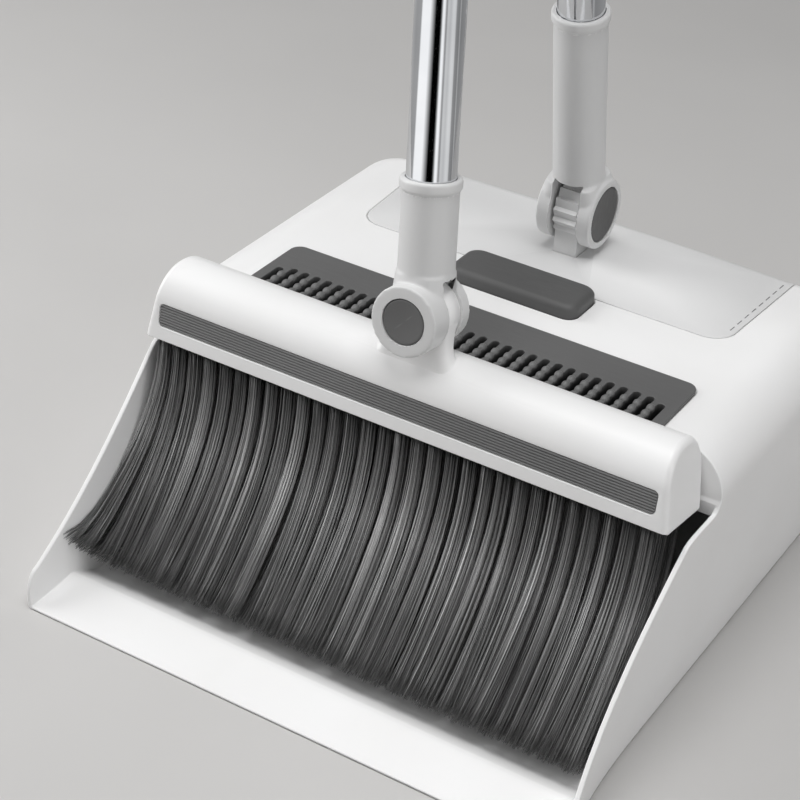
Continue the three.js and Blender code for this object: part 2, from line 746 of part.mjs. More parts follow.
// The strip let into the front face, with fine ribs along its length.
function headStrip() {
  const pitch = (STRIP.high - STRIP.low) / STRIP.ribs;
  const face = [];
  for (let i = 0; i < STRIP.ribs; i += 1) {
    const z = STRIP.high - i * pitch;
    face.push([0.5, z - 0.15 * pitch], [0.15, z - 0.4 * pitch], [0.15, z - 0.75 * pitch]);
  }
  const outline = [
    [STRIP.thickness, STRIP.low], [STRIP.thickness, STRIP.high], [0.5, STRIP.high],
    ...face, [0.5, STRIP.low],
  ].reverse();
  return profile(outline, -STRIP.half, STRIP.half);
}

function tuftBlock() {
  const body = block(
    -HEAD.half + 3.6 + GAP, HEAD.half - 3.6 - GAP, HEAD.wall + GAP, HEAD.depth - HEAD.wall - GAP,
    0.4, HEAD.blockDepth,
  );
  const holes = screwSpots.map((x) => rod(1.9, -1, 30, 12, x, 19));
  const sinks = screwSpots.map((x) => rod(3.8, -1, 3, 16, x, 19));
  return cut(body, ...holes, ...sinks);
}

function blockScrew(x) {
  return screw(x, 19, 2.9, 3.4, 1.3, 18);
}

// ---- Bristles, in the pan's frame ----------------------------------------------------------

// One row fills the space between two shares of the way from the brush's front to its back.
function bristleRow(from, to) {
  const between = (share) =>
    BRUSH_FRONT.map(([y, z], i) => [
      y + (BRUSH_BACK[i][0] - y) * share,
      z + (BRUSH_BACK[i][1] - z) * share,
    ]);
  const outline = [...between(from), ...between(to).reverse()];
  const middle = HEAD.frontEdge.x;
  return profile(outline, middle - BRUSH_HALF, middle + BRUSH_HALF);
}

// ---- Assembly ------------------------------------------------------------------------------

const set = new THREE.Group();
set.name = "dust_pan_and_brush_set";

function addPan(group) {
  group.add(part("pan_body", panBody(), white));
  group.add(part("comb_plate", combPlate(), darkGrey));
  group.add(part("deck_panel", deckPanel(), paleGrey));
  group.add(part("foot_pad", footPad(), darkGrey));
  group.add(part("pad_tray", padTray(), paleGrey));
  group.add(part("pad_spring_left", padSpring(-PAD.springX), steel));
  group.add(part("pad_spring_right", padSpring(PAD.springX), steel));
  group.add(part("hinge_lug", hingeLug(), paleGrey));
  group.add(part("lug_screw_left", lugScrew(lugScrewSpots[0]), steel));
  group.add(part("lug_screw_right", lugScrew(lugScrewSpots[1]), steel));
  bossSpots.forEach((spot, i) => group.add(part(`deck_screw_${i + 1}`, deckScrew(spot), steel)));
}

// A group whose frame is a fork's own: X along the pivot axis, Z along the pole.
function addHandle(name, dims, pole, frame) {
  const handle = new THREE.Group();
  handle.applyMatrix4(frame);
  handle.add(part(`${name}_fork`, fork(dims), paleGrey));
  handle.add(part(`${name}_pin`, pivotPin(dims), steel));
  handle.add(part(`${name}_button`, button(dims), darkGrey));
  handle.add(part(`${name}_button_spring`, buttonSpring(dims), steel));
  handle.add(part(`${name}_cap`, backCap(dims), darkGrey));
  handle.add(part(`${name}_tube_lower`, tube(27 + GAP, pole.couplerAt - 1 - GAP), steel));
  handle.add(part(`${name}_coupler`, coupler(pole.couplerAt), paleGrey));
  handle.add(part(`${name}_tube_upper`, tube(pole.couplerAt + 1 + GAP, pole.upperTop), steel));
  handle.add(part(`${name}_grip`, grip(pole.gripFrom, pole.gripTo), darkGrey));
  handle.add(part(`${name}_hang_cap`, hangCap(pole.upperTop, pole.gripTo, pole.top), white));
  set.add(handle);
  return handle;
}

function addHead() {
  const head = new THREE.Group();
  head.rotation.x = -HEAD.tilt * DEG;
  head.position.copy(HEAD.frontEdge);
  head.add(part("head_shell", headShell(), white));
  head.add(part("head_strip", headStrip(), darkGrey));
  head.add(part("tuft_block", tuftBlock(), darkGrey));
  head.add(part("block_screw_left", blockScrew(screwSpots[0]), steel));
  head.add(part("block_screw_right", blockScrew(screwSpots[1]), steel));
  set.add(head);
  const rows = [["front", 0, 0.14], ["middle", 0.43, 0.57], ["rear", 0.86, 1]];
  rows.forEach(([place, from, to]) =>
    set.add(part(`bristles_${place}`, bristleRow(from, to), charcoal)),
  );
}

addPan(set);
addHead();

const panFrame = new THREE.Matrix4()
  .makeRotationX(PAN_FORK.lean * DEG)
  .setPosition(PAN_FORK.pivot);
const panHandle = addHandle("pan", PAN_FORK, PAN_POLE, panFrame);
panHandle.add(part("storage_clip", storageClip(PAN_POLE.clipAt), white));

// The brush's pivot axis points forward out of the tilted head; the pole leans to the left of it.
const pivotAxis = new THREE.Vector3(0, -Math.cos(HEAD.tilt * DEG), Math.sin(HEAD.tilt * DEG));
const headUp = new THREE.Vector3(0, Math.sin(HEAD.tilt * DEG), Math.cos(HEAD.tilt * DEG));
const poleAxis = headUp.clone().applyAxisAngle(pivotAxis, BROOM_FORK.lean * DEG);
const sideAxis = new THREE.Vector3().crossVectors(poleAxis, pivotAxis);
const broomFrame = new THREE.Matrix4()
  .makeBasis(pivotAxis, sideAxis, poleAxis)
  .setPosition(BROOM_FORK.pivot);
addHandle("broom", BROOM_FORK, BROOM_POLE, broomFrame);

export default set;
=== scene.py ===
import json
import math

import bmesh
import bpy
import numpy as np
from mathutils import Matrix, Vector

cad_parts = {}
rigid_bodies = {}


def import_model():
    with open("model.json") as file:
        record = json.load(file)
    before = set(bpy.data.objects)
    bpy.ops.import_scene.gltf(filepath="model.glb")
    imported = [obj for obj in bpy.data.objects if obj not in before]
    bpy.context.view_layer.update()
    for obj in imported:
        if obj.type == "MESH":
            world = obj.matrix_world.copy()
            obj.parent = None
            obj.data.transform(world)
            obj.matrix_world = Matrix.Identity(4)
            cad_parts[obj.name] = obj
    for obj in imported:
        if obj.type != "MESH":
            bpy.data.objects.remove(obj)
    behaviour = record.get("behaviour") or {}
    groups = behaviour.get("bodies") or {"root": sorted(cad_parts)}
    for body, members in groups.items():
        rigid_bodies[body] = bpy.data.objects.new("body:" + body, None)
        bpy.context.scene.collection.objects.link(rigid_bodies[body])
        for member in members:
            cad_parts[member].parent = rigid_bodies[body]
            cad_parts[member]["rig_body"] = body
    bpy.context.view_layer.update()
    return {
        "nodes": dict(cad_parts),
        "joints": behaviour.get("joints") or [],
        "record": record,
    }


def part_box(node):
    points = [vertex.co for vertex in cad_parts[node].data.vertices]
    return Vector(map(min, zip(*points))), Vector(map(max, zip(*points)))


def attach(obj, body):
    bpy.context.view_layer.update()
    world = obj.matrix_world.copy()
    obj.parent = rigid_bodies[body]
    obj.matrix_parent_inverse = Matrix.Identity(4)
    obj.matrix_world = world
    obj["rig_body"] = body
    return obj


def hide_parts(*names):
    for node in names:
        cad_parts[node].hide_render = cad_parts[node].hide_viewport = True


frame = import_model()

MM = 0.001
NODES = frame["nodes"]
JOINTS = {joint["name"]: joint for joint in frame["joints"]}


def box_mm(node):
    """Lowest and highest corners of a CAD node, in millimetres."""
    low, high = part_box(node)
    return np.array(low) / MM, np.array(high) / MM


# ---- Sizes, from the frame ----

PAN_LOW, PAN_HIGH = box_mm("pan_body")
PANEL_LOW = box_mm("deck_panel")[0]
COMB_LOW, COMB_HIGH = box_mm("comb_plate")
PAD_TOP = box_mm("foot_pad")[1][2]
BRISTLE_LOW, BRISTLE_HIGH = box_mm("bristles_front")
TUBE_OUTER = 11.5  # radius
TUBE_WALL = 0.8
TUBE_BORE = 11.75  # radius of the holes the tubes sit in
TUBE_SEAT = 27  # height of the lower tube's end above the fork's pivot
PIN_BORE = 4.2  # radius
CLEAR = 0.3  # left between parts that touch

FRONT = PAN_LOW[1]
REAR = PAN_HIGH[1]
HEIGHT = PAN_HIGH[2]
HALF_WIDTH = 139.0  # the pan's half width at the floor
FLARE = 10.0  # added to it by the top
MOUTH_FLARE = PAN_HIGH[0] - HALF_WIDTH - 0.66  # added to it at the lip
REAR_BOW = 5.0  # the rear face bows out by this much in the middle
CORNER_RADIUS = 20.0  # rear corners seen from above
TOP_RADIUS = 26.0  # between hood and sides
REAR_RADIUS = 15.0  # between hood and rear
WALL = 2.4
TOP = 3.2
FLOOR = 2.8
RIM_SLOPE = 0.92
RIM_AT_ZERO = 157.9  # height that the sloping rims would have at y = 0
HOOD_FRONT_Y = COMB_LOW[1] - CLEAR
LEDGE_Z = 107.4  # top of the side walls under the ends of the brush head
HOOD_CORNER_X = 128.0  # the hood's front opening has thick corners, behind the ends of the parked head
HOOD_CORNER_DEPTH = 5.0
HOOD_CORNER_Z = 104.0


# ---- Meshes ----


def add_mesh(name, points, faces, place=None):
    """A new object from points in millimetres.

    They are in the part's frame, or in the frame that the matrix place turns into it.
    """
    co = np.asarray(points, float) * MM
    if place is not None:
        m = np.array(place, float)
        co = co @ m[:3, :3].T + m[:3, 3]
    mesh = bpy.data.meshes.new(name)
    mesh.from_pydata(co.tolist(), [], faces)
    mesh.update()
    obj = bpy.data.objects.new(name, mesh)
    bpy.context.scene.collection.objects.link(obj)
    return obj


def loft(name, rings, place=None):
    """A closed skin over rings of points that all have the same count. Ends are capped."""
    count = len(rings[0])
    faces = []
    for r in range(len(rings) - 1):
        for i in range(count):
            a = r * count + i
            b = r * count + (i + 1) % count
            faces.append((a, b, b + count, a + count))
    faces.append(tuple(reversed(range(count))))
    last = (len(rings) - 1) * count
    faces.append(tuple(range(last, last + count)))
    obj = add_mesh(name, np.concatenate([np.asarray(r, float) for r in rings]), faces, place)
    face_outwards(obj)
    return obj


def face_outwards(obj):
    shape = bmesh.new()
    shape.from_mesh(obj.data)
    bmesh.ops.recalc_face_normals(shape, faces=shape.faces)
    shape.to_mesh(obj.data)
    shape.free()


def at_height(outline, z):
    return np.array([(x, y, z) for x, y in outline], float)


def prism(name, outline, z0, z1, place=None):
    """A flat outline in x and y, raised from z0 to z1."""
    return loft(name, [at_height(outline, z0), at_height(outline, z1)], place)


def cross_prism(name, outline, x0, x1, place=None):
    """An outline in y and z, drawn out along X."""
    rings = [np.array([(x, y, z) for y, z in outline], float) for x in (x0, x1)]
    return loft(name, rings, place)


def block(name, x0, x1, y0, y1, z0, z1, place=None):
    return prism(name, [(x0, y0), (x1, y0), (x1, y1), (x0, y1)], z0, z1, place)


def turned(name, outline, sides=96, place=None, axis="Z", centre=(0, 0, 0)):
    """A body of revolution from (radius, height) pairs.

    The first and last radius are 0, or else the outline closes on itself.
    """
    closed = outline[0][0] > 1e-6
    angles = np.arange(sides) * 2 * math.pi / sides
    points, starts = [], []
    for radius, height in outline:
        starts.append(len(points))
        if radius < 1e-6:
            points.append((0.0, 0.0, height))
        else:
            points.extend((radius * math.cos(a), radius * math.sin(a), height) for a in angles)
    faces = []
    pairs = list(zip(range(len(outline)), range(1, len(outline))))
    if closed:
        pairs.append((len(outline) - 1, 0))
    for low, high in pairs:
        for i in range(sides):
            j = (i + 1) % sides
            a, b = starts[low] + i, starts[low] + j
            c, d = starts[high] + j, starts[high] + i
            if outline[low][0] < 1e-6:
                faces.append((starts[low], c, d))
            elif outline[high][0] < 1e-6:
                faces.append((a, b, starts[high]))
            else:
                faces.append((a, b, c, d))
    co = np.array(points, float)
    if axis == "X":
        co = co[:, [2, 0, 1]]
    if axis == "Y":
        co = co[:, [1, 2, 0]]
    obj = add_mesh(name, co + np.array(centre, float), faces, place)
    face_outwards(obj)
    return obj


def rod(name, radius, z0, z1, sides=64, place=None, axis="Z", centre=(0, 0, 0)):
    return turned(name, [(0, z0), (radius, z0), (radius, z1), (0, z1)], sides, place, axis, centre)


def arc(cx, cy, radius, start, end, steps):
    angles = np.radians(np.linspace(start, end, steps + 1))
    return [(cx + radius * math.cos(a), cy + radius * math.sin(a)) for a in angles]


def rounded_box(x0, x1, y0, y1, radius, steps=8):
    corners = [(x1 - radius, y0 + radius, -90), (x1 - radius, y1 - radius, 0),
               (x0 + radius, y1 - radius, 90), (x0 + radius, y0 + radius, 180)]
    return [p for cx, cy, start in corners for p in arc(cx, cy, radius, start, start + 90, steps)]


def smooth_line(points, steps):
    """Points on a smooth curve through the given ones, with that many steps between each two."""
    pts = np.array(points, float)
    ends = np.vstack([2 * pts[0] - pts[1], pts, 2 * pts[-1] - pts[-2]])
    out = []
    for i in range(len(pts) - 1):
        a, b, c, d = ends[i:i + 4]
        for t in np.arange(steps) / steps:
            out.append(0.5 * ((2 * b) + (c - a) * t + (2 * a - 5 * b + 4 * c - d) * t * t
                              + (3 * b - a - 3 * c + d) * t ** 3))
    out.append(pts[-1])
    return np.array(out)


def freeze(obj):
    """Applies the modifiers on an object."""
    graph = bpy.context.evaluated_depsgraph_get()
    mesh = bpy.data.meshes.new_from_object(obj.evaluated_get(graph))
    obj.modifiers.clear()
    old = obj.data
    obj.data = mesh
    bpy.data.meshes.remove(old)
    mesh.name = obj.name
    return obj


def combine(body, tools, operation):
    for tool in tools:
        change = body.modifiers.new("combine", "BOOLEAN")
        change.operation = operation
        change.solver = "MANIFOLD"
        change.object = tool
    bpy.context.view_layer.update()
    freeze(body)
    for tool in tools:
        bpy.data.objects.remove(tool)
    return body


def cut(body, *tools):
    return combine(body, tools, "DIFFERENCE")


def join(body, *tools):
    return combine(body, tools, "UNION")


def common(body, *tools):
    return combine(body, tools, "INTERSECT")


def flow_together(obj, voxel, rounds):
    """Melts the parts of a solid into one skin with small hollow fillets where they meet."""
    remesh = obj.modifiers.new("remesh", "REMESH")
    remesh.mode = "VOXEL"
    remesh.voxel_size = voxel * MM
    smooth = obj.modifiers.new("smooth", "SMOOTH")
    smooth.factor = 0.5
    smooth.iterations = rounds
    bpy.context.view_layer.update()
    return freeze(obj)


def soften(obj, radius=0.4, angle=32, segments=2, weighted=True):
    """Rounds an object's sharp edges and shades the rest smoothly."""
    for polygon in obj.data.polygons:
        polygon.use_smooth = True
    if radius:
        bevel = obj.modifiers.new("edges", "BEVEL")
        bevel.width = radius * MM
        bevel.segments = segments
        bevel.limit_method = "ANGLE"
        bevel.angle_limit = math.radians(angle)
        bevel.use_clamp_overlap = False
        bevel.miter_outer = "MITER_ARC"
    if weighted:
        normals = obj.modifiers.new("normals", "WEIGHTED_NORMAL")
        normals.keep_sharp = False
        normals.weight = 70
    return obj


# ---- Materials ----


class Paint:
    """A short way to build one node material."""

    def __init__(self, name):
        self.material = bpy.data.materials.new(name)
        self.material.use_nodes = True
        self.tree = self.material.node_tree
        self.shader = next(n for n in self.tree.nodes if n.type == "BSDF_PRINCIPLED")
        self.place = self.node("ShaderNodeTexCoord").outputs["Object"]

    def node(self, kind, **settings):
        made = self.tree.nodes.new(kind)
        for key, value in settings.items():
            setattr(made, key, value)
        return made

    def link(self, source, target):
        self.tree.links.new(source, target)

    def stretched(self, scale):
        mapping = self.node("ShaderNodeMapping")
        mapping.inputs["Scale"].default_value = scale
        self.link(self.place, mapping.inputs["Vector"])
        return mapping.outputs["Vector"]

    def noise(self, scale, detail=3.0, rough=0.5, vector=None):
        made = self.node("ShaderNodeTexNoise")
        made.inputs["Scale"].default_value = scale
        made.inputs["Detail"].default_value = detail
        made.inputs["Roughness"].default_value = rough
        self.link(vector or self.place, made.inputs["Vector"])
        return made.outputs["Fac"]

    def spread(self, value, low, high, start=0.3, end=0.7):
        """Maps value from start..end to low..high."""
        made = self.node("ShaderNodeMapRange")
        made.inputs["From Min"].default_value = start
        made.inputs["From Max"].default_value = end
        made.inputs["To Min"].default_value = low
        made.inputs["To Max"].default_value = high
        self.link(value, made.inputs["Value"])
        return made.outputs["Result"]

    def ramp(self, value, stops):
        made = self.node("ShaderNodeValToRGB")
        elements = made.color_ramp.elements
        while len(elements) < len(stops):
            elements.new(0.5)
        for element, (position, colour) in zip(elements, stops):
            element.position = position
            element.color = (*colour, 1)
        self.link(value, made.inputs["Fac"])
        return made.outputs["Color"]

    def mix(self, factor, first, second, blend="MIX"):
        made = self.node("ShaderNodeMix", data_type="RGBA", blend_type=blend)
        for socket, value in ((made.inputs[0], factor), (made.inputs[6], first), (made.inputs[7], second)):
            if hasattr(value, "is_linked"):
                self.link(value, socket)
            elif isinstance(value, tuple):
                socket.default_value = (*value, 1)
            else:
                socket.default_value = value
        return made.outputs[2]

    def bump(self, height, strength, distance, below=None):
        made = self.node("ShaderNodeBump")
        made.inputs["Strength"].default_value = strength
        made.inputs["Distance"].default_value = distance * MM
        self.link(height, made.inputs["Height"])
        if below is not None:
            self.link(below, made.inputs["Normal"])
        return made.outputs["Normal"]

    def set(self, **values):
        for key, value in values.items():
            socket = self.shader.inputs[key.replace("_", " ")]
            if hasattr(value, "is_linked"):
                self.link(value, socket)
            else:
                socket.default_value = value
        return self.material


def grey(level, warmth=0.0):
    """A linear near-grey from an sRGB level of 0 to 255."""
    c = level / 255
    linear = c / 12.92 if c < 0.04045 else ((c + 0.055) / 1.055) ** 2.4
    return (linear * (1 + warmth), linear, linear * (1 - warmth))


def plastic(name, light, dark, roughness, grain, shade_below=None):
    """Moulded plastic: slow colour drift, a fine spark-eroded grain, a painted highlight on convex edges and
    faint scuffs.

    Below the height shade_below it darkens quickly: painted shade down in the slots.
    """
    paint = Paint(name)
    drift = paint.noise(14, 4)
    fine = paint.noise(2000, 2, 0.6)
    scratch = paint.noise(60, 6, 0.7, paint.stretched((1, 9, 3)))
    # Convex edges, found by pointiness, are mixed towards a lighter colour (edge): a painted highlight.
    painted_edge_highlight = paint.spread(paint.node("ShaderNodeNewGeometry").outputs["Pointiness"], 0, 1, 0.52, 0.62)
    colour = paint.mix(paint.spread(drift, 0, 1), dark, light)
    edge = tuple(min(1, c * 1.25 + 0.02) for c in light)
    colour = paint.mix(paint.mix(painted_edge_highlight, (0, 0, 0), (0.5, 0.5, 0.5)), colour, edge)
    # Painted shade: below shade_below the colour falls towards black, as shade down in slots.
    if shade_below is not None:
        height = paint.node("ShaderNodeSeparateXYZ")
        paint.link(paint.place, height.inputs[0])
        depth = paint.spread(height.outputs["Z"], 0.18, 1, (shade_below - 3) * MM, shade_below * MM)
        colour = paint.mix(depth, (0, 0, 0), colour)
    rough = paint.spread(scratch, roughness - 0.05, roughness + 0.1, 0.35, 0.75)
    normal = paint.bump(fine, grain, 0.05)
    normal = paint.bump(drift, 0.06, 0.6, normal)
    return paint.set(Base_Color=colour, Roughness=rough, Normal=normal)


def steel(name, roughness, along):
    """Bright drawn steel with hairlines along one axis."""
    paint = Paint(name)
    lines = paint.noise(90, 5, 0.65, paint.stretched(along))
    cloud = paint.noise(25, 3)
    colour = paint.mix(paint.spread(cloud, 0, 1), (0.60, 0.61, 0.63), (0.72, 0.73, 0.745))
    rough = paint.spread(lines, roughness * 0.7, roughness * 1.6)
    return paint.set(Base_Color=colour, Metallic=1.0, Roughness=rough, Normal=paint.bump(lines, 0.05, 0.05))


def bristle_material():
    """Charcoal filaments: each strand has its own tone; along each strand there is painted shade at the root
    under the head, a painted highlight along the middle of the bend, and a darker tip.
    """
    paint = Paint("bristle_filament")
    tone = paint.node("ShaderNodeAttribute", attribute_name="tone").outputs["Fac"]
    along = paint.node("ShaderNodeAttribute", attribute_name="along").outputs["Fac"]
    tones = [(0.0, grey(66)), (0.5, grey(165)), (1.0, grey(240))]
    # Painted light along each strand: dark root (painted shade under the head), brightest middle (painted
    # highlight on the bend), darker tip.
    painted_bend_highlight_and_root_shade = [(0.0, grey(105)), (0.15, grey(195)), (0.42, grey(255)), (0.7, grey(185)), (1.0, grey(130))]
    base = paint.ramp(paint.spread(tone, 0, 1, -0.45, 0.45), tones)
    colour = paint.mix(1.0, base, paint.ramp(along, painted_bend_highlight_and_root_shade), "MULTIPLY")
    rough = paint.spread(paint.noise(1500, 2), 0.28, 0.42)
    return paint.set(Base_Color=colour, Roughness=rough, Specular_IOR_Level=0.8)


WHITE = plastic("white_plastic", grey(248), grey(244, 0.004), 0.36, 0.10)
PALE = plastic("pale_grey_plastic", grey(222), grey(217), 0.40, 0.14)
PANEL = plastic("panel_plastic", grey(224), grey(219), 0.42, 0.14)
DARK = plastic("dark_grey_plastic", grey(104), grey(96), 0.46, 0.25)
BEAD = plastic("bead_plastic", grey(112), grey(100), 0.42, 0.2)
STRIP = plastic("strip_plastic", grey(118), grey(108), 0.42, 0.2)
# CAP is the button plastic of DARK, made darker for the pan's button only: painted shade on that button.
CAP = plastic("cap_plastic", grey(86), grey(78), 0.46, 0.25)
# The comb's colour darkens below its top face: painted shade in its slots.
COMB = plastic("comb_plastic", grey(96), grey(88), 0.44, 0.25, shade_below=COMB_HIGH[2] - 1.2)
RUBBER = plastic("soft_dark_plastic", grey(88), grey(79), 0.5, 0.3)
TUBE_STEEL = steel("polished_steel", 0.07, (30, 30, 1))
ZINC = steel("zinc_steel", 0.28, (4, 4, 4))
BRISTLE = bristle_material()
MATERIALS = {
    "white_plastic": WHITE,
    "pale_grey_plastic": PALE,
    "dark_grey_plastic": DARK,
    "charcoal_bristle": DARK,
    "polished_steel": TUBE_STEEL,
    "zinc_steel": ZINC,
}


def dress(obj, material):
    obj.data.materials.clear()
    obj.data.materials.append(material)
    return obj


def stand_for(obj, nodes, material):
    """The piece is shown in place of CAD nodes, and moves with the body of the first one."""
    nodes = [nodes] if isinstance(nodes, str) else nodes
    dress(obj, material)
    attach(obj, NODES[nodes[0]]["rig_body"])
    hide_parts(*nodes)
    return obj


# ---- Frames ----


def fork_frame(name, joint):
    """A pole's own frame: X along its pivot pin, Z up the pole, and its origin on the pivot."""
    pivot = Vector(JOINTS[joint]["pos_m"])
    x = Vector(JOINTS[joint]["axis"]).normalized()
    tube = np.array([v.co for v in NODES[f"{name}_tube_upper"].data.vertices]).mean(0)
    z = Vector(tube) - pivot
    z = (z - x * z.dot(x)).normalized()
    y = z.cross(x)
    turn = Matrix((x, y, z)).transposed().to_4x4()
    return Matrix.Translation(pivot) @ turn


PAN_FRAME = fork_frame("pan", "pan_handle_fold")
BROOM_FRAME = fork_frame("broom", "broom_handle_tilt")


# ---- Dust pan ----


def pan_half(y, z):
    """Half width of the pan's outside at a place along its depth and height."""
    forward = np.clip((-52 - y) / (-52 - FRONT), 0, None)
    return HALF_WIDTH + FLARE * z / HEIGHT + MOUTH_FLARE * forward ** 3


def pan_ring(z, inset, front, rear_inset):
    """The pan's outline at one height, with its sides and its rear moved inwards."""
    radius = CORNER_RADIUS - rear_inset

    def rear_at(x):
        return REAR - rear_inset - REAR_BOW * (x / HALF_WIDTH) ** 2

    side = pan_half(100, z) - inset
    corner_x = side - radius
    corner_y = rear_at(side) + 1 - radius
    right = [(pan_half(y, z) - inset, y) for y in np.linspace(front, -52, 13)]
    right += [(pan_half(y, z) - inset, y) for y in (0, 60)]
    right += arc(corner_x, corner_y, radius, 0, 90, 14)
    right += [(corner_x * s, rear_at(corner_x * s)) for s in (0.8, 0.6, 0.4, 0.2, 0)]
    left = [(-x, y) for x, y in reversed(right[:-1])]
    return at_height(right + left, z)


def pan_solid(name, inset, front, bottom):
    """The pan's outside shape moved inwards by inset."""
    top = HEIGHT - inset
    radius = TOP_RADIUS - inset
    rings = [pan_ring(z, inset + extra, front, inset + extra) for z, extra in bottom]
    for angle in np.radians(np.linspace(0, 90, 16)):
        z = top - radius + radius * math.sin(angle)
        share = 1 - math.cos(angle)
        rings.append(pan_ring(z, inset + radius * share, front, inset + (REAR_RADIUS - inset) * share))
    return loft(name, rings)


FOOT = [(0, 2.6), (0.25, 1.7), (0.8, 0.9), (1.7, 0.25), (2.8, 0), (45, 0), (90, 0)]


def rim_cut():
    """Everything in front of the hood and above the rims, which slope up to a ledge under the head."""

    def rim_z(y):
        return RIM_AT_ZERO + RIM_SLOPE * y

    toe = smooth_line([(FRONT, 4), (FRONT + 0.2, 9.5), (FRONT + 1.4, 14.5), (FRONT + 4, 19.5),
                       (FRONT + 8.5, rim_z(FRONT + 8.5)), (FRONT + 20, rim_z(FRONT + 20))], 5)
    ledge = smooth_line([(-70, rim_z(-70)), (-60, rim_z(-60)), (-55, LEDGE_Z - 1),
                         (-49, LEDGE_Z), (-40, LEDGE_Z), (HOOD_FRONT_Y - 5, LEDGE_Z),
                         (HOOD_FRONT_Y - 2, LEDGE_Z + 1.5), (HOOD_FRONT_Y, LEDGE_Z + 6)], 4)
    edge = [tuple(p) for p in toe] + [tuple(p) for p in ledge]
    return cross_prism("rim_cut", [(-180, 4)] + edge + [(HOOD_FRONT_Y, 200), (-180, 200)], -200, 200)


def pan_cavity():
    """The space inside the pan above its floor, crease and lip ramp."""
    inside = pan_solid("cavity", WALL, -190, [(-5, 0), (60, 0)])
    ramp = smooth_line([(-137, 6.95), (-132, 8.55), (-129.5, 9), (-126.5, 8.5), (-119, 5.0),
                        (-114.5, 3.0), (-110, FLOOR)], 6)
    under = HEIGHT - TOP
    outline = [(-190, 1.4), (FRONT, 1.4)] + [tuple(p) for p in ramp]
    outline += [(180, FLOOR), (180, under), (-190, under)]
    common(inside, cross_prism("above_floor", outline, -200, 200))
    rear = HOOD_FRONT_Y + HOOD_CORNER_DEPTH
    for x0, x1 in ((-160, -HOOD_CORNER_X), (HOOD_CORNER_X, 160)):
        cut(inside, block("hood_corner", x0, x1, HOOD_FRONT_Y - 1, rear, HOOD_CORNER_Z, 160))
    return inside


PANEL_FRONT = PANEL_LOW[1] - CLEAR
PANEL_FRONT_HALF = 105.0
PANEL_REAR_HALF = 110.5
PANEL_CORNER = 13.0
PANEL_THICKNESS = 1.4
PANEL_RECESS = 1.7
SKIRT_Z = PANEL_LOW[2] - CLEAR


def panel_outline(inset):
    r = PANEL_CORNER - inset
    front = PANEL_FRONT + inset
    rear = REAR + 10
    slope = (PANEL_REAR_HALF - PANEL_FRONT_HALF) / (rear - PANEL_FRONT)

    def half_at(y):
        return PANEL_FRONT_HALF - inset + slope * (y - PANEL_FRONT)

    return (arc(-half_at(front) + r, front + r, r, 180, 270, 14)
            + arc(half_at(front) - r, front + r, r, -90, 0, 14)
            + [(half_at(rear), rear), (-half_at(rear), rear)])


def panel_room(name, inset, depth, skirt_z):
    """Everything inside the panel's outline that is above a depth under the hood's skin."""
    room = prism(name, panel_outline(inset), skirt_z, HEIGHT + 20)
    return cut(room, pan_solid("below", depth, FRONT - 20, [(-5, 0), (60, 0)]))


PAD_HALF = 36.0
PAD_FRONT = 37.4
PAD_REAR = 64.8
PAD_CORNER = 6.5
LUG_HALF = 6.5
LUG_FRONT = 96.0
LUG_REAR = 117.8


def pad_hole():
    half = PAD_HALF + CLEAR
    outline = rounded_box(-half, half, PAD_FRONT - CLEAR, PAD_REAR + CLEAR, PAD_CORNER)
    return prism("pad_hole", outline, 120, 200)


def lug_hole():
    half = LUG_HALF + CLEAR
    outline = rounded_box(-half, half, LUG_FRONT - CLEAR, LUG_REAR + CLEAR, 0.8, 3)
    return prism("lug_hole", outline, 120, 200)


COMB_HALF = 112.5
COMB_BACK = COMB_HIGH[1]
COMB_CORNER = 6.0
COMB_THICKNESS = 2.2
SLOTS = 32
OUTER_SLOT = 105.0
SLOT_END = -2.2
SLOT_RADIUS = 1.9
SLOT_PITCH = 2 * OUTER_SLOT / (SLOTS - 1)


def comb_outline(grow, front):
    half, back = COMB_HALF + grow, COMB_BACK + grow
    return ([(-half, front), (half, front)]
            + arc(half - COMB_CORNER, back - COMB_CORNER, COMB_CORNER, 0, 90, 12)
            + arc(-half + COMB_CORNER, back - COMB_CORNER, COMB_CORNER, 90, 180, 12))


def pan_shell():
    body = pan_solid("pan_shell", 0, FRONT, FOOT)
    cut(body, pan_cavity())
    cut(body, rim_cut())
    cut(body, block("comb_room", -COMB_HALF + 5, COMB_HALF - 5, HOOD_FRONT_Y - 1, 0.6, 120, 200))
    cut(body, prism("comb_recess", comb_outline(CLEAR, -60), COMB_HIGH[2] - COMB_THICKNESS - CLEAR, 200))
    cut(body, panel_room("panel_recess", 0, PANEL_RECESS, SKIRT_Z))
    cut(body, pad_hole())
    cut(body, lug_hole())
    soften(body, 0.6, 35, 3)
    return stand_for(body, "pan_body", WHITE)


def deck_panel():
    panel = panel_room("deck_cover", CLEAR + 0.2, PANEL_THICKNESS, SKIRT_Z + CLEAR)
    common(panel, pan_solid("hood_skin", 0, FRONT, FOOT))
    cut(panel, pad_hole())
    cut(panel, lug_hole())
    soften(panel, 0.3, 35, 2, weighted=False)
    return stand_for(panel, "deck_panel", PANEL)


def comb_slots():
    return [-OUTER_SLOT + i * SLOT_PITCH for i in range(SLOTS)]


def comb():
    low, high = COMB_LOW[2], COMB_HIGH[2]
    plate = prism("comb", comb_outline(0, COMB_LOW[1]), high - COMB_THICKNESS, high)
    inner = COMB_HALF - 5 - CLEAR
    join(plate, block("teeth", -inner, inner, COMB_LOW[1], 0.6 - CLEAR, low, high - 1))
    slots = []
    for i, x in enumerate(comb_slots()):
        end = SLOT_END - SLOT_RADIUS - (3 if i in (0, SLOTS - 1) else 0)
        shape = [(x - SLOT_RADIUS, -40), (x + SLOT_RADIUS, -40)] + arc(x, end, SLOT_RADIUS, 0, 180, 12)
        slots.append(prism("slot", shape, low - 1, high + 1))
    cut(plate, *slots)
    soften(plate, 0.45, 35, 2)
    return stand_for(plate, "comb_plate", COMB)


